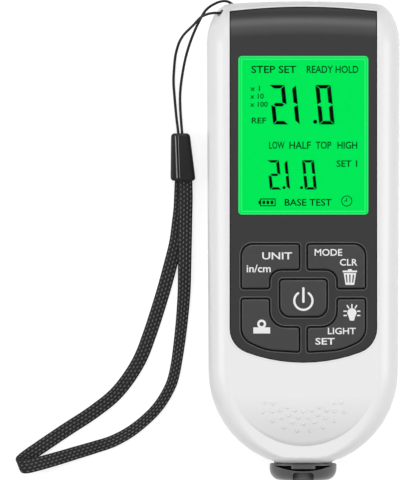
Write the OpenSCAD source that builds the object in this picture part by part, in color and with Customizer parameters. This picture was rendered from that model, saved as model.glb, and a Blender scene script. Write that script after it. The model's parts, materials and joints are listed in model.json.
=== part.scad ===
// Handheld coating thickness gauge: a two-part moulded case with an inset dark panel, a lit display,
// five interlocking keys, a sprung probe at the lower end and a wrist lanyard at the upper corner.
// It lies on its back: +Z points out of the display, +Y towards the lanyard end.

/* [Case] */
// Width of the case at its shoulders
case_w = 50; // [48:0.5:56]
// Length of the case without the probe
case_l = 120; // [116:1:130]
// Thickness of the case
case_t = 27; // [27:0.5:31]
// Wall of both case halves
wall = 2.4; // [2.2:0.1:2.6]
// How much narrower the round lower end is on each side
end_taper = 0.4; // [0:0.1:1]
// Depth of the flat that the probe seats on, cut off the round end
end_cut = 0.7; // [0.5:0.1:1.2]
// Width of a top corner's curve
corner_w = 6.2; // [5.8:0.1:8]
// Length of a top corner's curve
corner_l = 10.4; // [10:0.1:12]
// Rise of the bowed top end
top_crown = 0.6; // [0.2:0.1:1]
// Width of the rounding along the front edges
front_round = 5.2; // [4:0.1:5.6]
// Height of the rounding along the front edges
front_rise = 9; // [7:0.5:10]
// Width of the rounding at the front of the top end
top_round = 9; // [7:0.5:9.8]
// Width of the rounding at the front of the round end
low_round = 1.8; // [1.5:0.1:3]
// Width of the rounding along the back edges
back_round = 4; // [3:0.1:5]
// Height of the rounding along the back edges
back_rise = 6; // [4:0.5:8]
// Height of the parting plane, which holds the probe's axis
split_z = 13; // [12.5:0.1:14]

/* [Front panel] */
// Width of the dark panel
panel_w = 37.8; // [36.6:0.2:39]
// Thickness of the panel
panel_t = 1.2; // [1:0.1:1.4]
// White strip between the top end and the panel
panel_inset = 1.7; // [1.2:0.1:2.5]
// Rise of the panel's bowed top edge
panel_crown = 1.2; // [0.6:0.1:2]
// Radius of the panel's bowed bottom edge
panel_bow_r = 42; // [36:1:60]
// Radius of the panel's lower corners
panel_corner_r = 6.4; // [5:0.1:8]
// Width of the raised lip round the panel
lip_w = 0.35; // [0.3:0.05:0.6]
// Height of that lip
lip_h = 0.15; // [0.1:0.05:0.3]
// Panel below the keys
panel_foot = 2.3; // [2.2:0.1:5]

/* [Display] */
// Width of the window
window_w = 33.7; // [30:0.1:34]
// Length of the window
window_l = 41.1; // [36:0.1:43]
// Distance from the top end to the window
window_inset = 14.3; // [14:0.1:18]
// Corner radius of the window
window_r = 0.9; // [0.5:0.1:2]
// Flange of the window behind the panel
window_flange = 1; // [0.8:0.1:1.2]
// Thickness of that flange
window_flange_t = 0.8; // [0.6:0.1:1]
// Thickness of the liquid crystal cell
lcd_t = 2.2; // [1.8:0.1:2.4]
// Contact ledge of the cell above its lit area
lcd_ledge = 2.8; // [2.4:0.1:3.2]

/* [Keys] */
// Panel between the window and the keys
key_gap = 7.4; // [7.2:0.1:9]
// Width of the key field
key_field_w = 32.6; // [31:0.1:33]
// Length of the key field
key_field_l = 28.5; // [27:0.1:30]
// Panel bridge between neighbouring keys in the middle
key_bridge = 1.6; // [1.5:0.1:2.4]
// Panel bridge between the upper and the lower keys
key_split_w = 2.1; // [1.6:0.1:2.4]
// Width of the power key's opening
power_w = 12.7; // [11:0.1:13]
// Length of the power key's opening
power_l = 10.2; // [9:0.1:10.6]
// Panel web around the power key
power_web = 2.2; // [2:0.1:2.6]
// Clearance round each key
key_clear = 0.35; // [0.25:0.05:0.45]
// Height of the keys above the panel
key_rise = 0.8; // [0.5:0.1:1.2]
// Rounding of the keys' edges
key_edge = 0.45; // [0.3:0.05:0.6]
// Travel of a key
key_travel = 0.6; // [0.4:0.1:0.7]
// Flange that keeps a key behind the panel
key_flange = 0.6; // [0.5:0.05:0.7]
// Thickness of that flange
key_flange_t = 1; // [0.8:0.1:1.2]

/* [Board] */
// Board beside the display's light guide
board_margin = 0.3; // [0.1:0.1:0.4]
// Gap between the board and the case screws' bosses
board_screw_gap = 1.1; // [0.6:0.1:1.6]
// Thickness of the board
board_t = 1.6; // [1:0.1:1.6]
// Height of the space between the front wall and the board
board_drop = 5.1; // [4.9:0.1:5.4]
// Distance from the top end to the board
board_inset = 6.6; // [6.4:0.1:8]
// Thickness of the keypad mat
mat_t = 1.1; // [0.8:0.1:1.3]

/* [Batteries] */
// Diameter of a cell
cell_d = 10.5; // [9.5:0.1:10.5]
// Length of a cell
cell_l = 44.5; // [42:0.1:45]
// Room for a compressed battery spring
spring_room = 4.6; // [4:0.1:5]
// Thickness of a battery contact
contact_t = 0.4; // [0.3:0.05:0.5]
// Distance from the top end to the battery bay
bay_inset = 10.5; // [10:0.1:12]
// Wall of the battery bay
bay_wall = 1.2; // [1:0.1:1.5]
// Thickness of the battery door
door_t = 1.6; // [1.5:0.1:1.8]
// Width of the door's sliding tongues
tongue_w = 1.3; // [1:0.1:1.6]
// Thickness of those tongues
tongue_t = 0.8; // [0.7:0.05:0.9]

/* [Screws] */
// Radius of a case screw's shank
screw_r = 1.05; // [0.9:0.05:1.2]
// Radius of a case screw's head
screw_head_r = 2; // [1.8:0.05:2.1]
// Depth of the case screws' sunk heads
screw_sink = 6; // [5:0.5:7]

/* [Probe] */
// Radius of the probe's collar
probe_r = 8.7; // [8:0.1:9.5]
// Length of the collar outside the case
collar_t = 4.4; // [4.2:0.1:4.6]
// How far the foot still stands out of the collar when it is pressed in
foot_rest = 0.1; // [0.1:0.05:0.3]
// Travel of the probe
probe_travel = 0.5; // [0.4:0.05:0.6]
// Thickness of the foot
foot_t = 2.5; // [2.2:0.1:3]
// Radius of the collar's barrel
barrel_r = 7.6; // [7.4:0.1:7.9]
// Length of the barrel inside the case
barrel_l = 15; // [14:0.5:18]
// Radius of the sliding shaft
shaft_r = 5.5; // [5:0.1:5.6]
// Running clearance of the shaft
shaft_clear = 0.05; // [0.02:0.01:0.1]
// Width of the notch at the collar's front and back
notch_w = 5.4; // [4:0.1:6]
// Depth of that notch
notch_d = 2; // [1.6:0.1:2.1]
// Width of the curved recess across the collar
recess_w = 15.2; // [14:0.1:16]
// Sag of that recess
recess_sag = 1.5; // [1.2:0.1:1.5]
// Depth of that recess
recess_d = 1.5; // [1:0.1:1.8]
// Radius of the measuring pole
pole_r = 1.3; // [1:0.1:1.5]

/* [Thumb rest] */
// Radius of the thumb rest
thumb_r = 19.4; // [16:0.1:19.4]
// Depth of the thumb rest at its lower edge
thumb_depth = 2; // [1:0.1:2.1]
// Where the thumb rest starts, below the centre of the round end
thumb_drop = 6.4; // [5:0.1:8]
// Radius of a grip dot
dot_r = 0.45; // [0.3:0.05:0.6]
// Height of a grip dot
dot_h = 0.25; // [0.15:0.05:0.4]

/* [Lanyard] */
// Diameter of the thin cord
cord_d = 0.7; // [0.5:0.1:0.8]
// Radius of the lanyard hole
eye_r = 0.85; // [0.8:0.05:0.95]
// Width of the wrist strap
strap_w = 3.6; // [3:0.1:4]
// Thickness of the wrist strap
strap_t = 1.2; // [0.8:0.1:1.2]
// Length of the clasp
clasp_l = 12.2; // [11:0.1:13]
// Width of the clasp at the cord
clasp_w = 4.9; // [4.5:0.1:5.5]
// Width of the clasp at the strap
clasp_foot_w = 6.6; // [6:0.1:7]
// Depth of the clasp
clasp_t = 4.6; // [4.4:0.1:5]

/* [Hidden] */
$fn = 64;

// Clearances: faces that only meet, pieces laid in pockets, and open slots
touch = 0.05;
seat = 0.1;
slot = 0.2;
eps = 0.01;
far = 200;

white = [0.90, 0.90, 0.90];
dark = [0.20, 0.20, 0.20];
key_grey = [0.25, 0.25, 0.25];
silver = [0.75, 0.75, 0.76];

// Heights and ends of the case, with the whole gauge centred on the origin
foot_reach = foot_rest + probe_travel;
total_l = case_l + collar_t + foot_reach;
top_y = total_l / 2;
end_y = top_y - case_l;
end_r = case_w / 2 - end_taper;
end_centre_y = end_y - end_cut + end_r;

// Display stack, from the window down
window_top_y = top_y - window_inset;
window_low_y = window_top_y - window_l;
panel_under_z = case_t - panel_t;
wall_under_z = case_t - wall;
window_under_z = panel_under_z - touch - window_flange_t;
lcd_top_z = wall_under_z - seat;
lcd_under_z = lcd_top_z - lcd_t;
lcd_margin = 0.6;
led_half = 1.4;
led_t = 1;
led_clear = 0.2;
board_z = wall_under_z - board_drop;
board_under_z = board_z - board_t;

// Key field
key_top_y = window_low_y - key_gap;
key_low_y = key_top_y - key_field_l;
key_x = key_field_w / 2;
key_mid_x = key_bridge / 2;
power_x = power_w / 2;
power_drop = (key_field_l - power_l) / 2;
power_top_y = key_top_y - power_drop;
power_low_y = power_top_y - power_l;
power_mid_y = (power_top_y + power_low_y) / 2;
key_step_x = power_x + power_web;
key_step_top_y = power_top_y + power_web - slot;
key_step_low_y = power_low_y - power_web;
key_split_rise = 1.15;
key_split_y = key_top_y - key_field_l / 2 + key_split_rise;
key_tight_r = 0.8;
key_upper_r = 3.1;
key_upper_hollow_r = 2.8;
key_lower_r = 4.5;
key_lower_hollow_r = 4;
key_lower_rise = 3.5;
key_bow_in = 6.5;
key_bow_rise = 0.55;
key_bow_r = 14;
power_lower_r = 2.9;
power_upper_r = 1;
key_flange_top_z = wall_under_z - touch;
key_flange_z = key_flange_top_z - key_flange_t;
dome_h = 0.4;
dome_r = 2.4;
mat_room = 0.5;
key_stem_z = board_z + dome_h + key_travel + seat;
key_stem_r = 1.5;

// Panel outline
panel_top_y = top_y - panel_inset;
panel_low_y = key_low_y - panel_foot;
panel_bow_y = panel_low_y + panel_bow_r;
panel_corner_x = panel_w / 2 - panel_corner_r;
panel_corner_a = acos(panel_corner_x / (panel_bow_r - panel_corner_r));
panel_corner_y = panel_bow_y - (panel_bow_r - panel_corner_r) * sin(panel_corner_a);
panel_clear = 0.25;

// Board outline and its screws
board_top_y = top_y - board_inset;
board_foot = 2.6;
board_low_y = key_low_y - board_foot;
board_room = 0.4;
boss_r = 2.4;
rear_boss_r = screw_head_r + 1.2;
screw_inset_x = 7;
screw_inset_top = 8.5;
screw_inset_low = 24.5;
screw_x = case_w / 2 - screw_inset_x;
screw_top_y = top_y - screw_inset_top;
screw_low_y = end_y + screw_inset_low;
board_w = window_w + 2 * board_margin;
board_neck_w = 2 * (screw_x - boss_r - board_screw_gap);
post_r = 1.7;
post_inset = 0.6;
post_x = board_neck_w / 2 - post_r - post_inset;
post_top_y = window_top_y + lcd_ledge + post_r + 1.4;
post_low_y = key_top_y + post_r + 0.9;
post_screw_r = 0.8;
post_screw_head_r = 1.5;
post_screw_head_t = 1;
post_screw_bite = 3;

// Battery bay on the back
door_recess = 0.15;
door_top_z = door_recess + door_t;
cell_clear = 0.35;
cell_z = door_top_z + cell_clear + cell_d / 2;
cell_x = cell_d / 2 + cell_clear;
bay_x = cell_x + cell_d / 2 + cell_clear;
bay_top_z = cell_z + cell_d / 2 + cell_clear;
contact_half = 4;
tab_half = 1.5;
bay_y = top_y - bay_inset;
bay_low_y = bay_y - cell_l - spring_room - 2 * contact_t - 2 * slot;
door_w = 2 * bay_x;
door_lap = 3;
door_low_y = bay_low_y - door_lap;
rail_wall = 1.5;
rail_roof = 1;
rail_x = bay_x + tongue_w + slot;

// Probe along -Y on the parting plane
collar_y = end_y - collar_t;
tip_y = collar_y - foot_reach;
foot_y = tip_y + foot_t;
bowl_l = 3;
bowl_in = 2.8;
band_t = 0.6;
recess_y = end_y - band_t;
recess_x = recess_w / 2;
tab_x = 3.1;
tab_l = 0.85;
notch_r = 0.8;
barrel_y = end_y + barrel_l;
stop_depth = 6.5;
stop_y = end_y + stop_depth;
shoulder_step = 0.8;
shoulder_r = shaft_r + shoulder_step;
shoulder_t = 1.5;
chamber_r = shoulder_r + slot;
keeper_lip = 1.5;
keeper_r = barrel_r + keeper_lip;
keeper_t = 1.5;
rib_t = 1.5;
rib_margin = 2;
cap_t = 2;
bush_t = 1.6;
bobbin_r = shaft_r - bush_t;
pole_tail = 3;
pole_y = stop_y + pole_tail;
lead_r = 0.7;

// Lanyard hole: a slanted mouth on the front corner, a chamber and a mouth on the top end
eye_corner = [-case_w / 2, top_y, case_t];
eye_front = eye_corner + [3.3, -3.1, -4.7];
eye_turn = eye_corner + [8.3, -2.7, -9.4];
eye_top = eye_corner + [5.6, 0.2, -10];
eye_chamber_r = 1.6;

// Route of the thin cord, clasp to case and back, from the case's upper left corner
beside = [-case_w / 2, top_y, 0];
cord_bends = [
    [-7.4, -35.3, 2.2], [-7.5, -33.7, 2.2], [-7.8, -31.3, 1.6], [-8.1, -28.5, 0.9], [-8.5, -24, 0.4],
    [-8.7, -21, 0.4], [-8.6, -18, 0.4], [-8.2, -14, 1], [-7.4, -11, 2.4], [-6.6, -9.4, 3.9],
    [-5.6, -8.1, 5.9], [-3.6, -6.2, 10.6], [-2.4, -4.9, 14], [-1.4, -4, 17], [-0.5, -3.6, 19.4],
    [0.4, -3.3, 21.4], [1.8, -3.1, 22.7], [3.3, -3.1, 22.3], [5, -3, 20.7], [6.8, -2.9, 19],
    [8.1, -2.8, 17.8], [8.6, -2.4, 17.3], [8.4, -1.9, 17.2], [7.6, -1.5, 17.2], [6.4, -0.6, 17.1],
    [5.2, 0, 16.9], [3.8, 0, 16.7], [2.1, -0.6, 16.3], [0.1, -1.9, 15.6], [-1.4, -4, 14.4],
    [-3.4, -8.1, 10.2], [-4.9, -12.2, 5.9], [-5.9, -16.1, 2.8], [-6.6, -20.2, 0.9], [-6.9, -22.8, 0.5],
    [-7, -25.3, 0.4], [-6.9, -28.5, 0.9], [-6.7, -31.3, 1.6], [-6.5, -33.7, 2.2], [-6.4, -35.3, 2.2]
];
cord_route = [for (p = cord_bends) beside + p];

// Route of the wrist strap, clasp to fold and back over itself
strap_bends = [
    [-6.5, -45.1, 1.5], [-6.7, -48.9, 1.2], [-6.9, -53.5, 0.8], [-7.4, -57.9, 0.7], [-8.1, -62.9, 0.7],
    [-9.6, -68.9, 0.7], [-11.7, -76.5, 0.7], [-14.9, -86.5, 0.7], [-18, -94.1, 0.7], [-23.2, -101.5, 0.7],
    [-29.4, -106.7, 0.7], [-37, -111.7, 0.7], [-44.4, -116.7, 0.7], [-46.8, -118.4, 0.8],
    [-48.2, -119.5, 1.4], [-48.8, -120.2, 2.6], [-48.2, -120.9, 3.8], [-46.8, -121, 4.3],
    [-44.2, -120.4, 4], [-39.2, -119, 2.4], [-34.2, -117.5, 1.1], [-29.2, -116, 0.7],
    [-24.2, -114.3, 0.7], [-19, -111.3, 0.7], [-13.6, -106.5, 0.7], [-10.2, -101.5, 0.7],
    [-8.4, -96.5, 0.7], [-6.9, -86.5, 0.7], [-6, -76.5, 1], [-5.8, -68.9, 2], [-5.7, -62.5, 2.3],
    [-5.6, -56.5, 2.4], [-5.5, -51.1, 2.6], [-5.6, -45.1, 2.9]
];
strap_route = [for (p = strap_bends) beside + p];
strap_fold = [14, 16];
clasp_y = beside.y - 46.2;
clasp_foot_x = beside.x - 6.2;
clasp_top_x = beside.x - 6.9;
clasp_slit_x = beside.x - 8.1;
clasp_z = 0.1;

// A loft through rings with the same number of points; hollow ends are closed round a hub inside them
module loft(rings, hub = []) {
    n = len(rings[0]);
    last = len(rings) - 1;
    end = n * len(rings);
    hubs = [for (ring = [rings[0], rings[last]]) each hub == [] ? [] : [[hub.x, hub.y, ring[0].z]]];
    flat_ends = [[for (i = [0 : n - 1]) i], [for (i = [n - 1 : -1 : 0]) last * n + i]];
    hub_ends = [for (i = [0 : n - 1]) let (j = (i + 1) % n)
        each [[end, i, j], [end + 1, last * n + j, last * n + i]]];
    polyhedron(
        points = concat([for (ring = rings) each ring], hubs),
        faces = concat(
            hub == [] ? flat_ends : hub_ends,
            [for (k = [0 : last - 1], i = [0 : n - 1]) let (j = (i + 1) % n)
                each [[k * n + i, (k + 1) * n + i, (k + 1) * n + j], [k * n + i, (k + 1) * n + j, k * n + j]]]
        )
    );
}

function unit(v) = v / norm(v);
function at_height(points, z) = [for (p = points) [p.x, p.y, z]];
function arc(centre, radii, from, to, n) =
    [for (i = [0 : n]) let (a = from + (to - from) * i / n) centre + [radii.x * cos(a), radii.y * sin(a)]];

// One rounded corner of an outline at v, moved inwards by d; a hollow corner grows with d
function corner(p, v, q, r, d, n) =
    let (
        in = unit(v - p),
        out = unit(q - v),
        turn = atan2(in.x * out.y - in.y * out.x, in * out),
        side = sign(turn),
        in_left = [-in.y, in.x],
        out_left = [-out.y, out.x],
        inward = (in_left + out_left) / (1 + in_left * out_left),
        radius = max(r - side * d, 0.05),
        centre = v + inward * (d + side * radius),
        from = atan2(-in_left.y * side, -in_left.x * side)
    )
    arc(centre, [radius, radius], from, from + turn, n);

// An outline of [x, y, corner radius] vertices, counter-clockwise, moved inwards by d
function rounded(vertices, d = 0, n = 6) =
    let (count = len(vertices), xy = [for (v = vertices) [v.x, v.y]])
    [for (i = [0 : count - 1])
        each corner(xy[(i + count - 1) % count], xy[i], xy[(i + 1) % count], vertices[i].z, d, n)];

// The same vertices on the other side, still counter-clockwise and from the same first corner
function mirrored(points) =
    let (n = len(points))
    [for (i = [0 : n - 1]) let (p = points[(n - i) % n]) [-p.x, p.y, p.z]];

// Plan of the case at one height: inset by side on the flanks, by top and low at the two ends
function case_plan(side, top, low, fine) =
    let (
        bends = fine ? 6 : 3,
        half = case_w / 2 - side,
        end_arc = [end_r - side, end_r - low],
        corner_x = case_w / 2 - corner_w,
        corner_y = top_y - top_crown - corner_l,
        shoulder = [half - corner_x, corner_l - top],
        crown_y = top_y - top
    )
    concat(
        [for (p = arc([0, end_centre_y], end_arc, 180, 360, 4 * bends - 2))
            [p.x, max(p.y, end_y + low)]],
        arc([corner_x, corner_y], shoulder, 0, 90, bends),
        [for (i = [-2 : 2]) let (x = -corner_x * i / 3) [x, crown_y - top_crown * pow(x / corner_x, 2)]],
        arc([-corner_x, corner_y], shoulder, 90, 180, bends)
    );

// The case's outer form, moved inwards by d; the hidden cavity takes fewer facets
module case_form(d = 0, fine = true) {
    back = [for (a = [0 : fine ? 22.5 : 45 : 90])
        let (in = d + (back_round - d) * (1 - sin(a)))
        at_height(case_plan(in, in, in, fine), d + (back_rise - d) * (1 - cos(a)))];
    front = [for (a = [0 : fine ? 15 : 30 : 90])
        let (
            turn = 1 - cos(a),
            flank = d + (front_round - d) * turn,
            top = d + (top_round - d) * turn,
            low = d + low_round * turn
        )
        at_height(case_plan(flank, top, low, fine), case_t - d - (front_rise - d) * (1 - sin(a)))];
    loft(concat(back, front));
}
module cavity() { case_form(wall, false); }

// A closed sweep of an oval section along a path; across gives the direction of its width at each point
module sweep(path, across, half_w, half_t, sides = 8) {
    last = len(path) - 1;
    loft([for (i = [0 : last])
        let (
            along = unit(path[min(i + 1, last)] - path[max(i - 1, 0)]),
            wide = unit(across[i] - along * (across[i] * along)),
            thick = cross(along, wide)
        )
        [for (k = [0 : sides - 1]) let (a = 360 * k / sides)
            path[i] + wide * half_w * cos(a) + thick * half_t * sin(a)]]);
}

// Horizontal direction square to the path at each of its points
function level_across(path) =
    let (last = len(path) - 1)
    [for (i = [0 : last]) cross(path[min(i + 1, last)] - path[max(i - 1, 0)], [0, 0, 1])];

// A coil spring along +Y between two radii
function coil(from_r, to_r, length, turns, steps) =
    [for (i = [0 : turns * steps])
        let (f = i / (turns * steps), r = from_r + (to_r - from_r) * f, a = 360 * i / steps)
        [r * cos(a), length * f, r * sin(a)]];
module spring(from_r, to_r, length, turns, wire_r, steps = 12, sides = 6) {
    path = coil(from_r, to_r, length - 2 * wire_r, turns, steps);
    translate([0, wire_r, 0])
        sweep(path, [for (p = path) [p.x, 0, p.z]], wire_r, wire_r, sides);
}

module box(low, high) { translate(low) cube(high - low); }
module front_half() { box([-far, -far, split_z], [far, far, far]); }
module rear_half() { box([-far, -far, -far], [far, far, split_z]); }
module prism(points, low, high) { translate([0, 0, low]) linear_extrude(high - low) polygon(points); }
module post(x, y, low, high, r) { translate([x, y, low]) cylinder(h = high - low, r = r); }
module along_y(y, length, r) { translate([0, y, split_z]) rotate([-90, 0, 0]) cylinder(h = length, r = r); }
module rod(from, to, r) {
    way = to - from;
    translate(from) rotate([0, acos(way.z / norm(way)), atan2(way.y, way.x)]) cylinder(h = norm(way), r = r);
}
module four(places) { for (p = places) translate([p.x, p.y, 0]) children(); }

screw_places = [for (x = [-screw_x, screw_x], y = [screw_top_y, screw_low_y]) [x, y]];
post_places = [for (x = [-post_x, post_x], y = [post_top_y, post_low_y]) [x, y]];

// Outlines on the front: panel, window and key openings
function panel_outline(d = 0) =
    let (half = panel_w / 2 - d, corner = [panel_corner_r - d, panel_corner_r - d], bow = panel_bow_r - d)
    concat(
        arc([-panel_corner_x, panel_corner_y], corner, 180, 180 + panel_corner_a, 6),
        arc([0, panel_bow_y], [bow, bow], 180 + panel_corner_a, 360 - panel_corner_a, 10),
        arc([panel_corner_x, panel_corner_y], corner, 360 - panel_corner_a, 360, 6),
        [for (i = [4 : -1 : -4]) let (x = half * i / 4) [x, panel_top_y - d - panel_crown * pow(i / 4, 2)]]
    );
function window_outline(d = 0) =
    rounded([
        [-window_w / 2, window_low_y, window_r], [window_w / 2, window_low_y, window_r],
        [window_w / 2, window_top_y, window_r], [-window_w / 2, window_top_y, window_r]
    ], d, 4);

unit_vertices = [
    [-key_x, key_top_y, key_upper_r], [-key_x, key_split_y + key_split_w / 2, key_tight_r],
    [-key_step_x, key_split_y + key_split_w / 2, key_tight_r],
    [-key_step_x, key_step_top_y, key_upper_hollow_r], [-key_mid_x, key_step_top_y, key_tight_r],
    [-key_mid_x, key_top_y, key_tight_r]
];
zero_vertices = [
    [-key_x, key_low_y + key_lower_rise, key_lower_r],
    [key_bow_in - key_x, key_low_y + key_bow_rise, key_bow_r], [-key_mid_x, key_low_y, key_tight_r],
    [-key_mid_x, key_step_low_y, key_tight_r], [-key_step_x, key_step_low_y, key_lower_hollow_r],
    [-key_step_x, key_split_y - key_split_w / 2, key_tight_r],
    [-key_x, key_split_y - key_split_w / 2, key_tight_r]
];
power_vertices = [
    [-power_x, power_low_y, power_lower_r], [power_x, power_low_y, power_lower_r],
    [power_x, power_top_y, power_upper_r], [-power_x, power_top_y, power_upper_r]
];
mode_vertices = mirrored(unit_vertices);
light_vertices = mirrored(zero_vertices);
key_vertices = [unit_vertices, mode_vertices, power_vertices, zero_vertices, light_vertices];

// Where each key's stem stands over its snap dome
stem_x = (key_x + key_step_x) / 2;
upper_stem_y = (key_top_y + key_split_y) / 2 + 0.6;
lower_stem_y = (key_low_y + key_split_y) / 2 + 1;
upper_hub_y = (key_top_y + key_step_top_y) / 2;
lower_hub_y = (key_low_y + key_step_low_y) / 2;
stem_places = [
    [-stem_x, upper_stem_y], [stem_x, upper_stem_y], [0, power_mid_y], [-stem_x, lower_stem_y],
    [stem_x, lower_stem_y]
];

// The thumb rest: its floor rolls down from the flat front to a crisp round edge
thumb_start_y = end_centre_y - thumb_drop;
thumb_run = thumb_r - thumb_drop;
thumb_roll_r = (pow(thumb_run, 2) + pow(thumb_depth, 2)) / (2 * thumb_depth);
thumb_roll_lap = 0.02;
function thumb_floor(y) =
    case_t - thumb_roll_r + sqrt(pow(thumb_roll_r, 2) - pow(max(0, thumb_start_y - y), 2));
module thumb_area(low_z, high_z) {
    intersection() {
        post(0, end_centre_y, low_z, high_z, thumb_r);
        box([-far, -far, low_z], [far, thumb_start_y, high_z]);
    }
}
module thumb_rest() {
    difference() {
        thumb_area(case_t - thumb_depth - wall / 2, case_t + wall);
        translate([-far / 2, thumb_start_y, case_t - thumb_roll_r + thumb_roll_lap])
            rotate([0, 90, 0]) cylinder(h = far, r = thumb_roll_r, $fn = 180);
    }
}

dot_rings = [[8.6, 5], [10.3, 8], [11.8, 9], [13.7, 8]];
dot_pitch = 14.4;
dot_centre_y = end_centre_y - 1.8;
module grip_dots() {
    for (ring = dot_rings, i = [0 : ring[1] - 1]) {
        a = (i - (ring[1] - 1) / 2) * dot_pitch;
        y = dot_centre_y - ring[0] * cos(a);
        translate([ring[0] * sin(a), y, thumb_floor(y) - dot_h])
            cylinder(h = 2 * dot_h, r1 = dot_r * 1.3, r2 = dot_r * 0.7, $fn = 8);
    }
}

module lanyard_hole() {
    rod(eye_turn, eye_front + unit(eye_front - eye_turn) * 3, eye_r);
    rod(eye_turn, eye_top + unit(eye_top - eye_turn) * 2, eye_r);
    translate(eye_turn) sphere(r = eye_chamber_r);
}

// Half-round seats for the probe's barrel, as a rib behind the end wall
module barrel_rib() {
    half = keeper_r + rib_margin;
    rib_y = barrel_y - cap_t - rib_t;
    box([-half, rib_y - rib_t, wall], [half, rib_y, wall_under_z]);
}
module barrel_room() {
    along_y(end_y - 1, barrel_l + 2, barrel_r + touch);
    along_y(end_y + wall, keeper_t + 2 * seat, keeper_r + touch);
}

// What stands inside the front half: bosses, board posts, the lanyard corner, the probe's rib and the
// pad under the thumb rest
module front_inner() {
    four(screw_places) post(0, 0, 0, far, boss_r);
    four(post_places) post(0, 0, board_z, far, post_r);
    box([-far, board_top_y + board_room, 0], [eye_turn.x + eye_chamber_r + 1, far, far]);
    barrel_rib();
    thumb_area(case_t - thumb_depth - wall, far);
}

// The raised lip round the panel's pocket
module panel_lip() {
    intersection() {
        case_form(-lip_h);
        prism(panel_outline(-panel_clear - lip_w), split_z, far);
    }
}

module front_shell() {
    color(white)
        difference() {
            union() {
                difference() {
                    intersection() {
                        union() { case_form(); panel_lip(); }
                        front_half();
                    }
                    difference() { cavity(); front_inner(); }
                    thumb_rest();
                }
                grip_dots();
            }
            difference() {
                prism(panel_outline(-panel_clear), split_z, far);
                case_form(panel_t + seat);
            }
            prism(window_outline(-window_flange - slot), split_z, far);
            for (vertices = key_vertices) prism(rounded(vertices, 0), split_z, far);
            four(screw_places) post(0, 0, 0, wall_under_z - 1, screw_r + touch);
            four(post_places) post(0, 0, 0, wall_under_z - 0.4, post_screw_r + touch);
            lanyard_hole();
            barrel_room();
        }
}

// Block that carries the battery bay and the door's rails
module bay_block() {
    box(
        [-bay_x - bay_wall, bay_low_y - bay_wall, 0],
        [bay_x + bay_wall, bay_y + bay_wall, bay_top_z + bay_wall]
    );
    box(
        [-rail_x - rail_wall, door_low_y - rail_wall, 0],
        [rail_x + rail_wall, far, door_top_z + slot + rail_roof]
    );
}
// What stands inside the rear half: screw bosses, the battery bay and the probe's rib
module rear_inner() {
    four(screw_places) post(0, 0, 0, far, rear_boss_r);
    barrel_rib();
    bay_block();
}
module door_channel() {
    box([-door_w / 2 - slot, door_low_y - slot, -1], [door_w / 2 + slot, far, door_top_z + slot]);
    box([-rail_x, door_low_y - slot, door_top_z - tongue_t - slot], [rail_x, far, door_top_z + slot]);
}

module rear_shell() {
    color(white)
        difference() {
            intersection() {
                case_form();
                union() { rear_half(); bay_block(); }
            }
            difference() { cavity(); rear_inner(); }
            box([-bay_x, bay_low_y, 0], [bay_x, bay_y, bay_top_z]);
            door_channel();
            for (x = [-cell_x, cell_x])
                box([x - tab_half - slot, bay_y - contact_t - slot, 0], [x + tab_half + slot, bay_y, far]);
            four(screw_places) post(0, 0, -1, screw_sink, screw_head_r + 0.15);
            four(screw_places) post(0, 0, 0, far, screw_r + slot);
            barrel_room();
        }
}

module front_panel() {
    color(dark)
        difference() {
            intersection() { case_form(); prism(panel_outline(), split_z, far); }
            case_form(panel_t);
            prism(window_outline(), split_z, far);
            for (vertices = key_vertices) prism(rounded(vertices), split_z, far);
        }
}

module display_window() {
    color([0.6, 0.9, 0.7, 0.4])
        union() {
            prism(window_outline(-window_flange), window_under_z, panel_under_z - touch);
            prism(window_outline(seat), window_under_z, case_t - seat);
        }
}

module lcd_cell() {
    color([0.05, 0.9, 0.35])
        box(
            [-window_w / 2 - lcd_margin, window_low_y - lcd_margin, lcd_under_z],
            [window_w / 2 + lcd_margin, window_top_y + lcd_ledge, lcd_top_z]
        );
}

module backlight_guide() {
    color([0.85, 0.95, 0.85])
        difference() {
            box([-window_w / 2, window_low_y, board_z], [window_w / 2, window_top_y, lcd_under_z - touch]);
            for (x = [-window_w / 4, window_w / 4])
                box(
                    [x - led_half - led_clear, window_low_y - led_t, board_z - led_t],
                    [x + led_half + led_clear, window_low_y + led_t + led_clear, board_z + led_t + led_clear]
                );
        }
}

module backlight_leds() {
    color([0.95, 0.95, 0.8])
        for (x = [-window_w / 4, window_w / 4])
            box([x - led_half, window_low_y, board_z], [x + led_half, window_low_y + led_t, board_z + led_t]);
}

module zebra_strip() {
    color("hotpink")
        box(
            [-window_w / 2 + lcd_margin, window_top_y + slot, board_z],
            [window_w / 2 - lcd_margin, window_top_y + lcd_ledge - slot, lcd_under_z]
        );
}

module main_board() {
    notch_top_y = screw_top_y - boss_r - board_room;
    notch_low_y = max(screw_low_y + boss_r + board_room, board_low_y);
    color([0.05, 0.35, 0.15])
        difference() {
            union() {
                box([-board_w / 2, notch_low_y, board_under_z], [board_w / 2, notch_top_y, board_z]);
                box(
                    [-board_neck_w / 2, board_low_y, board_under_z],
                    [board_neck_w / 2, board_top_y, board_z]
                );
            }
            four(post_places) post(0, 0, 0, far, post_screw_r + slot);
        }
}

module controller_chip() {
    half = 5;
    body_t = 1.2;
    stand = 0.2;
    leg = [0.4, 1.2, 0.6];
    color([0.08, 0.08, 0.09])
        translate([0, (key_top_y + key_low_y) / 2, board_under_z])
            union() {
                box([-half, -half, -stand - body_t], [half, half, -stand]);
                for (side = [0 : 3], i = [-4 : 4])
                    rotate([0, 0, 90 * side]) translate([i - leg.x / 2, half - stand, -leg.z]) cube(leg);
            }
}

module board_screws() {
    color(silver)
        four(post_places)
            difference() {
                union() {
                    post(0, 0, board_under_z - post_screw_head_t, board_under_z, post_screw_head_r);
                    post(0, 0, board_under_z - eps, board_z + post_screw_bite, post_screw_r);
                }
                for (a = [0, 90]) rotate([0, 0, a])
                    box(
                        [-1, -0.2, board_under_z - post_screw_head_t - 1],
                        [1, 0.2, board_under_z - post_screw_head_t + 0.5]
                    );
            }
}

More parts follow.
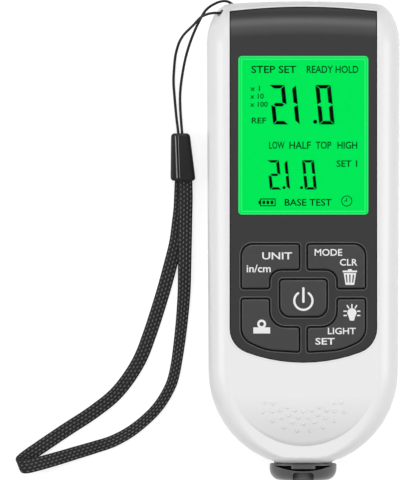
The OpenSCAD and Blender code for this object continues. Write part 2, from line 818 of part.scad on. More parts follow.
module snap_domes() {
    crown = [for (i = [0 : 4]) let (f = i / 4) [dome_r * cos(90 * f), dome_h * sin(90 * f)]];
    color(silver)
        four(stem_places) translate([0, 0, board_z]) rotate_extrude() polygon(concat([[0, 0]], crown));
}

module keypad_mat() {
    color([0.55, 0.56, 0.58])
        difference() {
            union() {
                prism(
                    rounded([
                        [-key_x, key_low_y, key_upper_r], [key_x, key_low_y, key_upper_r],
                        [key_x, key_top_y, power_upper_r], [-key_x, key_top_y, power_upper_r]
                    ]),
                    board_z, board_z + mat_t
                );
                four(stem_places) post(0, 0, board_z, key_flange_z - key_travel - 0.3, dome_r + 2 * mat_room);
            }
            four(stem_places) post(0, 0, 0, far, dome_r + mat_room);
        }
}

// A key: cap with a rounded edge, flange behind the panel and a stem over its snap dome
module key(vertices, stem, hub) {
    top_z = case_t + key_rise;
    rings = concat(
        [at_height(rounded(vertices, key_clear), key_flange_z)],
        [for (a = [0 : 30 : 90])
            at_height(
                rounded(vertices, key_clear + key_edge * (1 - cos(a))),
                top_z - key_edge * (1 - sin(a))
            )]
    );
    color(key_grey)
        union() {
            loft(rings, hub);
            prism(rounded(vertices, -key_flange, 3), key_flange_z, key_flange_top_z);
            post(stem.x, stem.y, key_stem_z, key_flange_z + eps, key_stem_r);
        }
}
module unit_key() { key(unit_vertices, stem_places[0], [-stem_x, upper_hub_y]); }
module mode_key() { key(mode_vertices, stem_places[1], [stem_x, upper_hub_y]); }
module power_key() { key(power_vertices, stem_places[2], stem_places[2]); }
module zero_key() { key(zero_vertices, stem_places[3], [-stem_x, lower_hub_y]); }
module light_key() { key(light_vertices, stem_places[4], [stem_x, lower_hub_y]); }

module battery_door() {
    grip_r = 0.9;
    grip_pitch = 2.2;
    grip_l = 12;
    grip_inset = 6;
    color(white)
        difference() {
            intersection() {
                case_form(door_recess);
                union() {
                    box([-door_w / 2, door_low_y, 0], [door_w / 2, far, door_top_z]);
                    box(
                        [-door_w / 2 - tongue_w, door_low_y, door_top_z - tongue_t],
                        [door_w / 2 + tongue_w, far, door_top_z]
                    );
                }
            }
            for (i = [0 : 4])
                translate([-grip_l / 2, door_low_y + grip_inset + i * grip_pitch, door_recess - grip_r / 2])
                    rotate([0, 90, 0]) cylinder(h = grip_l, r = grip_r);
        }
}

// A round cell standing on its negative end at the origin, along +Y
module cell(sleeve) {
    nub_r = 2.6;
    nub_l = 1;
    rim = 0.5;
    color(sleeve)
        rotate([-90, 0, 0])
            rotate_extrude()
                polygon([
                    [0, 0], [cell_d / 2 - rim, 0], [cell_d / 2, rim], [cell_d / 2, cell_l - nub_l - rim],
                    [cell_d / 2 - rim, cell_l - nub_l], [nub_r, cell_l - nub_l], [nub_r, cell_l], [0, cell_l]
                ]);
}
module battery_left() {
    translate([-cell_x, bay_y - contact_t - slot - cell_l, cell_z]) cell([0.25, 0.3, 0.35]);
}
module battery_right() {
    translate([cell_x, bay_low_y + contact_t + slot + cell_l, cell_z])
        rotate([0, 0, 180]) cell([0.25, 0.3, 0.35]);
}

module battery_springs() {
    wire_r = 0.3;
    spring_foot_r = 3.6;
    spring_head_r = 2;
    color(silver) {
        translate([-cell_x, bay_low_y + contact_t, cell_z])
            spring(spring_foot_r, spring_head_r, spring_room, 3, wire_r);
        translate([cell_x, bay_y - contact_t, cell_z])
            rotate([0, 0, 180]) spring(spring_foot_r, spring_head_r, spring_room, 3, wire_r);
    }
}

module battery_link() {
    color(silver)
        box(
            [-cell_x - contact_half, bay_low_y, cell_z - contact_half],
            [cell_x + contact_half, bay_low_y + contact_t, cell_z + contact_half]
        );
}

module battery_terminals() {
    color(silver)
        for (x = [-cell_x, cell_x])
            union() {
                box(
                    [x - contact_half, bay_y - contact_t, cell_z - contact_half],
                    [x + contact_half, bay_y, cell_z + contact_half]
                );
                box([x - tab_half, bay_y - contact_t, cell_z], [x + tab_half, bay_y, board_under_z - touch]);
            }
}

module case_screws() {
    head_t = 1.5;
    screw_bite = 7;
    cross_l = 1.2;
    cross_w = 0.25;
    color(silver)
        four(screw_places)
            difference() {
                union() {
                    post(0, 0, screw_sink - head_t, screw_sink - touch, screw_head_r);
                    post(0, 0, screw_sink - head_t, split_z + screw_bite, screw_r);
                }
                for (a = [0, 90]) rotate([0, 0, a])
                    box([-cross_l, -cross_w, 0], [cross_l, cross_w, screw_sink - head_t / 2]);
            }
}

// A turned piece round the probe's axis, from [radius, y] points
module turned(points) { translate([0, 0, split_z]) rotate([-90, 0, 0]) rotate_extrude() polygon(points); }

// The curved recess in the collar's front and back, with a tab hanging into it from the upper band
module collar_recess() {
    curve = [for (i = [-8 : 8]) [recess_x * i / 8, recess_y - recess_sag * (1 - pow(i / 8, 2))]];
    tab = [
        [tab_x, recess_y], [tab_x, recess_y - tab_l], [-tab_x, recess_y - tab_l], [-tab_x, recess_y]
    ];
    difference() {
        prism(concat(curve, tab), -far, far);
        along_y(collar_y - 1, collar_t + 2, probe_r - recess_d);
    }
}

// The collar: a bowl on the round end, its barrel inside the case, a notch at its front and back
module probe_collar() {
    bore_r = shaft_r + shaft_clear;
    notch_x = notch_w / 2;
    notch_y = collar_y + notch_d;
    color([0.12, 0.12, 0.12])
        difference() {
            turned(concat(
                [[bore_r, collar_y]],
                [for (a = [90 : -15 : 0])
                    [probe_r - bowl_in * (1 - cos(a)), collar_y + bowl_l * (1 - sin(a))]],
                [
                    [probe_r, end_y - 0.3], [probe_r - 0.3, end_y], [barrel_r, end_y],
                    [barrel_r, end_y + wall + seat], [keeper_r, end_y + wall + seat],
                    [keeper_r, end_y + wall + seat + keeper_t],
                    [barrel_r, end_y + wall + seat + keeper_t], [barrel_r, barrel_y],
                    [chamber_r, barrel_y], [chamber_r, stop_y], [bore_r, stop_y]
                ]
            ));
            collar_recess();
            prism(rounded([
                [-notch_x, collar_y - 1, slot], [notch_x, collar_y - 1, slot],
                [notch_x, notch_y, notch_r], [-notch_x, notch_y, notch_r]
            ], 0, 4), -far, far);
        }
}

module probe_shaft() {
    shoulder_y = stop_y + touch;
    color([0.10, 0.10, 0.10])
        turned([
            [bobbin_r + touch, foot_y], [shaft_r, foot_y], [shaft_r, shoulder_y],
            [shoulder_r, shoulder_y], [shoulder_r, shoulder_y + shoulder_t],
            [bobbin_r + touch, shoulder_y + shoulder_t]
        ]);
}

// The foot: a rounded ring on the end of the shaft
module probe_foot() {
    rim = 1.2;
    color([0.14, 0.14, 0.14])
        turned(concat(
            [[pole_r + seat, foot_y], [shaft_r, foot_y]],
            [for (a = [0 : 15 : 90]) [shaft_r - rim * (1 - cos(a)), tip_y + rim * (1 - sin(a))]],
            [[pole_r + seat, tip_y]]
        ));
}

module probe_pole() {
    pole_sink = 0.1;
    color(silver)
        turned(concat(
            [[0, pole_y], [pole_r, pole_y]],
            [for (a = [0 : 18 : 90]) [pole_r * cos(a), tip_y + pole_sink + pole_r * (1 - sin(a))]]
        ));
}

module probe_coil() {
    low_y = foot_y + 0.8;
    high_y = stop_y + shoulder_t;
    color([0.72, 0.40, 0.20])
        turned([
            [pole_r + touch, low_y], [bobbin_r, low_y], [bobbin_r, low_y + 0.8],
            [bobbin_r - 0.5, low_y + 0.8], [bobbin_r - 0.5, high_y - 0.8],
            [bobbin_r, high_y - 0.8], [bobbin_r, high_y],
            [pole_r + touch, high_y]
        ]);
}

module probe_spring() {
    wire_r = 0.4;
    from_y = stop_y + touch + shoulder_t;
    color(silver)
        translate([0, from_y + seat, split_z])
            spring(chamber_r - 1.2, chamber_r - 1.2, barrel_y - cap_t - from_y - 2 * seat, 4, wire_r);
}

module probe_cap() {
    color([0.12, 0.12, 0.12])
        difference() {
            along_y(barrel_y - cap_t, cap_t, chamber_r - touch);
            along_y(barrel_y - cap_t - 1, cap_t + 2, lead_r + touch);
        }
}

socket_inset = 4.2;
socket_y = board_low_y + socket_inset;
socket_h = 2.6;
socket_l = 4;
socket_half = 2.6;
socket_wall = 0.5;
plug_y = socket_y + socket_wall;
module probe_socket() {
    color([0.93, 0.92, 0.88])
        difference() {
            box(
                [-socket_half, socket_y - socket_l / 2, board_under_z - socket_h],
                [socket_half, socket_y + socket_l / 2, board_under_z]
            );
            box(
                [socket_wall - socket_half, socket_y - socket_l, board_under_z - socket_h + socket_wall],
                [socket_half - socket_wall, plug_y + socket_wall, board_under_z - socket_wall]
            );
        }
}

module probe_lead() {
    plug_z = board_under_z - socket_h / 2;
    from_y = barrel_y + socket_wall;
    reach = socket_y - socket_l / 2 - socket_wall - from_y;
    bend = [for (i = [0 : 8])
        let (f = i / 8)
        [0, from_y + reach * f, split_z + (plug_z - split_z) * (3 * f * f - 2 * f * f * f)]];
    path = concat([[0, barrel_y - cap_t, split_z]], bend, [[0, plug_y, plug_z]]);
    color([0.7, 0.1, 0.1])
        sweep(path, [for (p = path) [1, 0, 0]], lead_r, lead_r);
}

module lanyard_cord() {
    color([0.07, 0.07, 0.07]) sweep(cord_route, level_across(cord_route), cord_d / 2, cord_d / 2);
}

module wrist_strap() {
    level = level_across(strap_route);
    crease = unit(level[strap_fold[0] - 1]) - unit(level[strap_fold[1] + 1]);
    across = [for (i = [0 : len(level) - 1])
        i < strap_fold[0] ? level[i] : i > strap_fold[1] ? -level[i] : crease];
    color([0.09, 0.09, 0.09]) sweep(strap_route, across, strap_w / 2, strap_t / 2);
}

module clasp_end(x, y, w) {
    round_r = 1;
    translate([x, y, clasp_z + clasp_t / 2])
        rotate([-90, 0, 0])
            linear_extrude(0.4)
                offset(round_r, $fn = 24) square([w - 2 * round_r, clasp_t - 2 * round_r], center = true);
}

module lanyard_clasp() {
    slit_w = 0.5;
    color([0.13, 0.13, 0.13])
        difference() {
            hull() {
                clasp_end(clasp_foot_x, clasp_y, clasp_foot_w);
                clasp_end(clasp_top_x, clasp_y + clasp_l - 0.4, clasp_w);
            }
            box(
                [clasp_slit_x, clasp_y - 1, clasp_z + clasp_t * 0.75],
                [clasp_slit_x + slit_w, clasp_y + clasp_l + 1, clasp_z + clasp_t + 1]
            );
        }
}

front_shell();
rear_shell();
front_panel();
display_window();
lcd_cell();
backlight_guide();
backlight_leds();
zebra_strip();
main_board();
controller_chip();
board_screws();
snap_domes();
keypad_mat();
unit_key();
mode_key();
power_key();
zero_key();
light_key();
battery_door();
battery_left();
battery_right();
battery_springs();
battery_link();
battery_terminals();
case_screws();
probe_collar();
probe_shaft();
probe_foot();
probe_pole();
probe_coil();
probe_spring();
probe_cap();
probe_lead();
probe_socket();
lanyard_cord();
lanyard_clasp();
wrist_strap();
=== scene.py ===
"""Dresses a handheld coating thickness gauge, which lies on its back with its wrist lanyard beside it."""

import json
import logging
import math
from dataclasses import dataclass, field, replace
from enum import Enum
from functools import cache
from typing import Any, Callable, Sequence

import bpy
import numpy as np
from mathutils import Matrix, Vector


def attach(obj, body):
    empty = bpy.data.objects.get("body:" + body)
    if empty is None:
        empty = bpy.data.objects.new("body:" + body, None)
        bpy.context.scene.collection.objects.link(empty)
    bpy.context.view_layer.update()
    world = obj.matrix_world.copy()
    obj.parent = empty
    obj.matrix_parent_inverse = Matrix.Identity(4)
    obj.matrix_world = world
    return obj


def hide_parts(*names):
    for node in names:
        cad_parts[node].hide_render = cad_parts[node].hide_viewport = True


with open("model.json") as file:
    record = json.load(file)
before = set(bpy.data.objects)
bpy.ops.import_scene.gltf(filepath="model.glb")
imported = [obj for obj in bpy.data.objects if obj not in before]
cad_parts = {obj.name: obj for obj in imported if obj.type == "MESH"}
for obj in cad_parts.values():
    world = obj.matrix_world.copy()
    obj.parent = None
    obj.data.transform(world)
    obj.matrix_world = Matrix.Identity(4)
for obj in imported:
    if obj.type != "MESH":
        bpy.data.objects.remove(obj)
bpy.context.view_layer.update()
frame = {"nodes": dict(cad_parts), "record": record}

LOG = logging.getLogger("gauge")
MM = 0.001
WHITE = (1.0, 1.0, 1.0, 1.0)
Point2 = tuple[float, float]
Point3 = tuple[float, float, float]

BODY_OF: dict[str, str] = {
    node: body for body, nodes in frame["record"]["behaviour"]["bodies"].items() for node in nodes
}
SLOT_OF: dict[str, str] = {entry["node"]: entry["material_slot"] for entry in frame["record"]["subparts"]}


@dataclass
class Wiring:
    """Short forms for adding nodes to a node tree."""

    tree: bpy.types.NodeTree

    def node(self, kind: str, inputs: dict[str | int, Any] | None = None, **settings: Any) -> bpy.types.Node:
        """Adds a node.

        Args:
            kind: The node's type.
            inputs: What goes into it, by the name or number of its socket.
            settings: Its own settings, made first.

        Returns:
            The new node.
        """
        node = self.tree.nodes.new(kind)
        for name, value in settings.items():
            setattr(node, name, value)
        self.feed(node, inputs or {})
        return node

    def feed(self, node: bpy.types.Node, inputs: dict[str | int, Any]) -> None:
        """Links each socket among the inputs to its place on a node, and writes each plain value there.

        Args:
            node: The node.
            inputs: What goes into it, by the name or number of its socket.
        """
        for place, value in inputs.items():
            if isinstance(value, bpy.types.NodeSocket):
                self.tree.links.new(value, node.inputs[place])
            else:
                node.inputs[place].default_value = value


def new_material(name: str) -> tuple[bpy.types.Material, Wiring, bpy.types.Node]:
    """Makes a material with nodes.

    Args:
        name: Its name.

    Returns:
        The material, the wiring of its tree and its principled shader.
    """
    material = bpy.data.materials.new(name)
    material.use_nodes = True
    tree = material.node_tree
    return material, Wiring(tree), tree.nodes["Principled BSDF"]


class Grain(Enum):
    """How the surface of a finish is broken up, as the stretch of its grain along each axis."""

    MOULDED = (1.0, 1.0, 1.0)
    BRUSHED = (1.0, 0.06, 1.0)
    WOVEN = (1.0, 0.5, 1.0)
    CLEAR = None


@dataclass(frozen=True)
class Finish:
    """One surface finish, made as a node material the first time it is asked for.

    A dish is a round area of painted shade that gets darker downwards: its centre on Y, its radius and the
    place on Y where it starts, in mm, and the share of the colour that is left at its lowest point. The last
    three values are the scale of the broad tone, the spread of the roughness and the relief as a share of the
    grain.
    """

    name: str
    colour: Point3
    roughness: float
    grain: Grain = Grain.MOULDED
    grain_mm: float = 0.25
    bump: float = 0.08
    tone: float = 0.04
    metallic: float = 0.0
    specular: float = 0.5
    coat: float = 0.0
    transmission: float = 0.0
    ior: float = 1.45
    glow: float = 0.0
    dish_shade: tuple[float, float, float, float] | None = None
    broad_scale: float = 90.0
    spread: float = 0.07
    relief: float = 0.4

    @cache
    def material(self) -> bpy.types.Material:
        """Builds the node tree once: grain for colour, roughness and bump on object coordinates.

        Returns:
            The finish's material.
        """
        material, wiring, shader = new_material(self.name)
        colour = (*self.colour, 1.0)
        material.diffuse_color = colour
        wiring.feed(shader, {
            "Metallic": self.metallic, "IOR": self.ior, "Specular IOR Level": self.specular,
            "Coat Weight": self.coat, "Transmission Weight": self.transmission,
        })
        if self.glow:
            unlit = (0.0, 0.004, 0.001, 1.0)
            wiring.feed(shader, {
                "Emission Color": colour, "Emission Strength": self.glow, "Base Color": unlit,
            })
        if self.grain is Grain.CLEAR:
            wiring.feed(shader, {"Base Color": colour, "Roughness": self.roughness})
        else:
            self._texture(wiring, shader)
        return material

    def _texture(self, wiring: Wiring, shader: bpy.types.Node) -> None:
        """Adds grain to a material's shader.

        Args:
            wiring: The wiring of the material's tree.
            shader: The shader.
        """
        place = wiring.node("ShaderNodeTexCoord").outputs["Object"]
        stretch = wiring.node("ShaderNodeMapping", {"Vector": place, "Scale": self.grain.value})
        fine, broad = (
            wiring.node(
                "ShaderNodeTexNoise", {"Vector": stretch.outputs["Vector"], "Scale": scale, "Detail": detail}
            ).outputs["Fac"]
            for scale, detail in ((1.0 / (self.grain_mm * MM), 3.0), (self.broad_scale, 2.0))
        )
        if not self.glow:
            shares = (1.0 - self.tone, 1.0 + self.tone)
            dark, pale = ((*(min(1.0, c * share) for c in self.colour), 1.0) for share in shares)
            tint = wiring.node("ShaderNodeMix", {"A": dark, "B": pale, "Factor": broad}, data_type="RGBA")
            colour = tint.outputs["Result"]
            # Inside the dish the colour is darkened downwards: painted shade.
            wiring.feed(shader, {"Base Color": self._paint_dish_shade(wiring, place, colour) if self.dish_shade else colour})
        low, high = max(0.02, self.roughness - self.spread), min(1.0, self.roughness + self.spread)
        spread = wiring.node("ShaderNodeMapRange", {"Value": fine, "To Min": low, "To Max": high})
        relief = wiring.node("ShaderNodeBump", {
            "Strength": self.bump, "Distance": self.grain_mm * MM * self.relief, "Height": fine,
        })
        wiring.feed(shader, {"Roughness": spread.outputs["Result"], "Normal": relief.outputs["Normal"]})

    def _paint_dish_shade(self, wiring: Wiring, place: bpy.types.NodeSocket,
                colour: bpy.types.NodeSocket) -> bpy.types.NodeSocket:
        """Darkens a colour inside the dish downwards, as painted shade.

        Args:
            wiring: The wiring of the material's tree.
            place: The socket with the object coordinates.
            colour: The socket with the colour.

        Returns:
            The socket with the colour darkened by painted shade.
        """
        node = wiring.node
        centre_y, radius, start_y, share = self.dish_shade
        flat = node("ShaderNodeVectorMath", {0: place, 1: (1.0, 1.0, 0.0)}, operation="MULTIPLY")
        middle = (0.0, centre_y * MM, 0.0)
        far = node("ShaderNodeVectorMath", {0: flat.outputs["Vector"], 1: middle}, operation="DISTANCE")
        inside = node("ShaderNodeMath", {0: far.outputs["Value"], 1: radius * MM}, operation="LESS_THAN")
        level = node("ShaderNodeMapRange", {
            "Value": node("ShaderNodeSeparateXYZ", {0: place}).outputs["Y"], "From Min": start_y * MM,
            "From Max": (centre_y - radius) * MM, "To Min": 1.0, "To Max": share,
        })
        tone = node("ShaderNodeMix", {
            "Factor": inside.outputs["Value"], "A": 1.0, "B": level.outputs["Result"],
        })
        shaded_colour = node("ShaderNodeVectorMath", {0: colour, "Scale": tone.outputs["Result"]}, operation="SCALE")
        return shaded_colour.outputs["Vector"]


class Finishes:
    """The gauge's finishes, by name."""

    CASE = Finish("case_satin_white", (0.82, 0.82, 0.82), 0.31, grain_mm=0.3, bump=0.03, tone=0.01)
    # The front shell's colour carries painted shade: its thumb-rest dish darkens towards its lower edge.
    FRONT_DISH_SHADED = replace(CASE, name="case_front_white_dish_shade", dish_shade=(-33.6, 19.34, -40.0, 0.78))
    PANEL = Finish("panel_matte_dark", (0.010, 0.010, 0.011), 0.36, grain_mm=0.22, specular=0.40)
    # The rims' paler colour is a painted highlight where the openings' edges catch the light.
    RIM = Finish("panel_rim_painted_highlight", (0.085, 0.085, 0.087), 0.4, grain_mm=0.22, bump=0.05, specular=0.4)
    KEY = Finish("key_matte_dark", (0.029, 0.029, 0.030), 0.38, grain_mm=0.22, specular=0.40)
    WINDOW = Finish(
        "window_acrylic", (1.0, 1.0, 1.0), 0.03, Grain.CLEAR, specular=0.1, transmission=1.0, ior=1.03
    )
    LCD = Finish("lcd_lit_green", (0.0008, 0.80, 0.094), 0.4, glow=1.0, bump=0.0, specular=0.0)
    LCD_EDGE = Finish("lcd_edge_green", (0.040, 0.86, 0.19), 0.4, glow=1.0, bump=0.0, specular=0.0)
    SEGMENT = Finish("segment_black", (0.002, 0.004, 0.002), 0.6, bump=0.0, specular=0.0)
    LABEL = Finish("segment_green_black", (0.001, 0.020, 0.003), 0.6, bump=0.0, specular=0.0)
    PRINT = Finish("print_white", (0.80, 0.80, 0.80), 0.5, bump=0.02, tone=0.02)
    GUIDE = Finish("guide_frosted", (0.80, 0.90, 0.82), 0.4, bump=0.05)
    ZEBRA = Finish("contact_rubber_pink", (0.62, 0.32, 0.36), 0.6, bump=0.05)
    BOARD = Finish("board_lacquer", (0.012, 0.11, 0.04), 0.38, grain_mm=0.8, tone=0.2)
    CHIP = Finish("chip_epoxy", (0.015, 0.015, 0.016), 0.55)
    STEEL = Finish("screw_steel", (0.55, 0.55, 0.56), 0.3, Grain.BRUSHED, metallic=1.0, tone=0.08)
    NICKEL = Finish("contact_nickel", (0.66, 0.65, 0.62), 0.22, Grain.BRUSHED, metallic=1.0, tone=0.06)
    MAT = Finish("mat_silicone", (0.22, 0.23, 0.25), 0.6, bump=0.05)
    CELL = Finish("cell_sleeve", (0.05, 0.065, 0.085), 0.28, grain_mm=1.2, bump=0.03, tone=0.1, coat=0.4)
    PROBE = Finish("probe_satin_black", (0.078, 0.078, 0.080), 0.30, grain_mm=0.3, bump=0.05)
    COPPER = Finish("coil_copper", (0.62, 0.25, 0.10), 0.3, Grain.BRUSHED, metallic=1.0, tone=0.12)
    LEAD = Finish("lead_sleeve", (0.40, 0.02, 0.02), 0.5, bump=0.03)
    SOCKET = Finish("socket_nylon", (0.70, 0.67, 0.58), 0.5, bump=0.03)
    CORD = Finish("cord_twist", (0.008, 0.008, 0.009), 0.7, Grain.WOVEN, 0.25, 0.5, 0.3, specular=0.3)
    BRAID = Finish("braid_black", (0.008, 0.008, 0.009), 0.75, Grain.WOVEN, 0.2, 0.5, 0.3, specular=0.3)
    STITCH = Finish("braid_stitch", (0.105, 0.105, 0.108), 0.5, Grain.WOVEN, 0.15, 0.4, 0.3, specular=0.35)
    CLASP = Finish("clasp_satin_black", (0.008, 0.008, 0.009), 0.38, grain_mm=0.4, bump=0.05, specular=0.2)
    # Pale strips of painted highlight along the edges of the clasp's slit.
    CLASP_EDGE = Finish("clasp_edge_painted_highlight", (0.250, 0.250, 0.253), 0.35, bump=0.03)
    # Black that stands in for shade in gaps, grooves, slits and recesses: painted shade.
    SHADE = Finish("painted_shade_black", (0.004, 0.004, 0.004), 0.8, bump=0.02, specular=0.1)


def add_object(name: str, data: bpy.types.ID) -> bpy.types.Object:
    """Adds an object to the scene.

    Args:
        name: Its name.
        data: Its mesh, curve, lamp or camera.

    Returns:
        The new object.
    """
    piece = bpy.data.objects.new(name, data)
    bpy.context.scene.collection.objects.link(piece)
    return piece


def solid_mesh(piece: bpy.types.Object) -> bpy.types.Mesh:
    """Returns an object's shape, with its modifiers, as a mesh of its own."""
    return bpy.data.meshes.new_from_object(piece.evaluated_get(bpy.context.evaluated_depsgraph_get()))


def new_piece(name: str, points: Any, faces: Sequence[Sequence[int]], material: bpy.types.Material,
              smooth: bool = False) -> bpy.types.Object:
    """Makes an object at the origin.

    Args:
        name: Its name.
        points: Its points in mm.
        faces: Its faces, as places in the row of points.
        material: Its material.
        smooth: Whether its faces are shaded as one smooth skin.

    Returns:
        The new object.
    """
    data = bpy.data.meshes.new(name)
    data.from_pydata((np.array(points, float) * MM).tolist(), [], faces)
    data.materials.append(material)
    data.polygons.foreach_set("use_smooth", [smooth] * len(data.polygons))
    data.update()
    return add_object(name, data)


def seat(piece: bpy.types.Object, body: str, slot: str, *replaced: str) -> bpy.types.Object:
    """Seats a piece on its body.

    Args:
        piece: The piece, in place.
        body: The body that carries it.
        slot: The record's material slot that it belongs to; not used.
        replaced: CAD nodes that it stands for.

    Returns:
        The same piece.
    """
    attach(piece, body)
    if replaced:
        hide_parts(*replaced)
    LOG.info("%s rides on %s", piece.name, body)
    return piece


def on_circle(centre: Point2, radius: float, angle: float) -> Point2:
    """Returns the point of a circle at an angle in radians."""
    return centre[0] + radius * math.cos(angle), centre[1] + radius * math.sin(angle)


def full_turn(steps: int) -> list[float]:
    """Returns the angles of a full turn in equal steps, in radians."""
    return [2.0 * math.pi * i / steps for i in range(steps)]


def oval(half_w: float, half_h: float, steps: int, power: float) -> list[Point2]:
    """Works out an oval.

    Args:
        half_w: Half its width.
        half_h: Half its height.
        steps: Number of points.
        power: 2 for an ellipse, more for a squarer form.

    Returns:
        Its points, counter-clockwise.
    """
    def bulge(value: float) -> float:
        """Returns a sine or cosine bent by the power."""
        return math.copysign(abs(value) ** (2.0 / power), value)

    return [(half_w * bulge(math.cos(a)), half_h * bulge(math.sin(a))) for a in full_turn(steps)]


def unit_rows(rows: np.ndarray) -> np.ndarray:
    """Returns the rows at unit length."""
    return rows / np.maximum(np.linalg.norm(rows, axis=1, keepdims=True), 1e-12)


def runs_of(line: np.ndarray) -> np.ndarray:
    """Returns the distance along a line at each of its points."""
    return np.concatenate([[0.0], np.cumsum(np.linalg.norm(np.diff(line, axis=0), axis=1))])


def smooth_path(route: Sequence[Point3], steps: int = 6) -> np.ndarray:
    """Rounds a route into one smooth line through its points.

    Args:
        route: The points in mm.
        steps: Points per stretch of the route.

    Returns:
        The line's points in mm.
    """
    p = np.array(route, float)
    p = np.vstack([2 * p[0] - p[1], p, 2 * p[-1] - p[-2]])
    line = []
    for i in range(1, len(p) - 2):
        a, b, c, d = p[i - 1 : i + 3]
        line += [
            0.5 * (2 * b + (c - a) * f + (2 * a - 5 * b + 4 * c - d) * f**2 + (3 * b - a - 3 * c + d) * f**3)
            for f in np.arange(steps) / steps
        ]
    return np.array(line + [p[-2]])


def rounded(corners: Sequence[Point3], steps: int = 8) -> list[Point2]:
    """Rounds the corners of an outline.

    Args:
        corners: Its corners in mm, counter-clockwise, each with the radius of its rounding.
        steps: Stretches per rounding.

    Returns:
        The outline's points.
    """
    outline = []
    for i, (x, y, radius) in enumerate(corners):
        before, after = corners[i - 1], corners[(i + 1) % len(corners)]
        come = Vector((x - before[0], y - before[1])).normalized()
        leave = Vector((after[0] - x, after[1] - y)).normalized()
        turn = math.atan2(come.x * leave.y - come.y * leave.x, come.dot(leave))
        way = math.copysign(1.0, turn)
        left = Vector((-come.y, come.x))
        centre = Vector((x, y)) - come * (radius * math.tan(abs(turn) / 2)) + left * (way * radius)
        start = math.atan2(-way * left.y, -way * left.x)
        for step in range(steps + 1):
            a = start + turn * step / steps
            outline.append(tuple(centre + radius * Vector((math.cos(a), math.sin(a)))))
    return outline


def frame_matrix(along: Sequence[float], up: Sequence[float], place: Sequence[float]) -> Matrix:
    """Sets up a place.

    Args:
        along: The way that its X axis points.
        up: The way that its Z axis points, as nearly as it can.
        place: Its origin.

    Returns:
        The place as a matrix.
    """
    x = Vector(along).normalized()
    y = Vector(up).cross(x).normalized()
    m = Matrix((x, y, x.cross(y))).transposed().to_4x4()
    m.translation = Vector(place)
    return m


@dataclass
class Mesh:
    """Vertices and faces of one piece, collected in millimetres."""

    vertices: list[Point3] = field(default_factory=list)
    faces: list[tuple[int, ...]] = field(default_factory=list)

    def tube(self, rings: Sequence[Sequence[Point3]], closed: bool = False) -> None:
        """Adds a skin over rings of points.

        Args:
            rings: The rings, all with the same number of points.
            closed: Whether the last ring joins the first; if not, both ends are capped.
        """
        n, base, count = len(rings[0]), len(self.vertices), len(rings)
        self.vertices += [tuple(p) for ring in rings for p in ring]
        for k in range(count if closed else count - 1):
            a, b = base + k * n, base + ((k + 1) % count) * n
            self.faces += [(a + i, a + (i + 1) % n, b + (i + 1) % n, b + i) for i in range(n)]
        if not closed:
            self.faces.append(tuple(base + i for i in reversed(range(n))))
            self.faces.append(tuple(base + (count - 1) * n + i for i in range(n)))

    def sweep(self, path: np.ndarray, side: np.ndarray, up: np.ndarray, section: Sequence[Point2],
              closed: bool = False) -> None:
        """Adds a skin along a path in mm, with its section in steps sideways and upwards at each point."""
        self.tube([[tuple(p + s * u + t * v) for u, v in section] for p, s, t in zip(path, side, up)], closed)

    def bead(self, path: np.ndarray, up: np.ndarray, section: Sequence[Point2]) -> None:
        """Adds a closed bead along a path.

        Args:
            path: The path's points in mm, counter-clockwise.
            up: The way up at each point.
            section: The section's points, as steps outwards and upwards.
        """
        along = unit_rows(np.roll(path, -1, axis=0) - np.roll(path, 1, axis=0))
        side = unit_rows(np.cross(along, up))
        self.sweep(path, side, np.cross(side, along), section, closed=True)

    def make(self, name: str, finish: Finish, smooth: bool = False) -> bpy.types.Object:
        """Returns the collected faces as a new object with that name and finish."""
        return new_piece(name, self.vertices, self.faces, finish.material(), smooth)


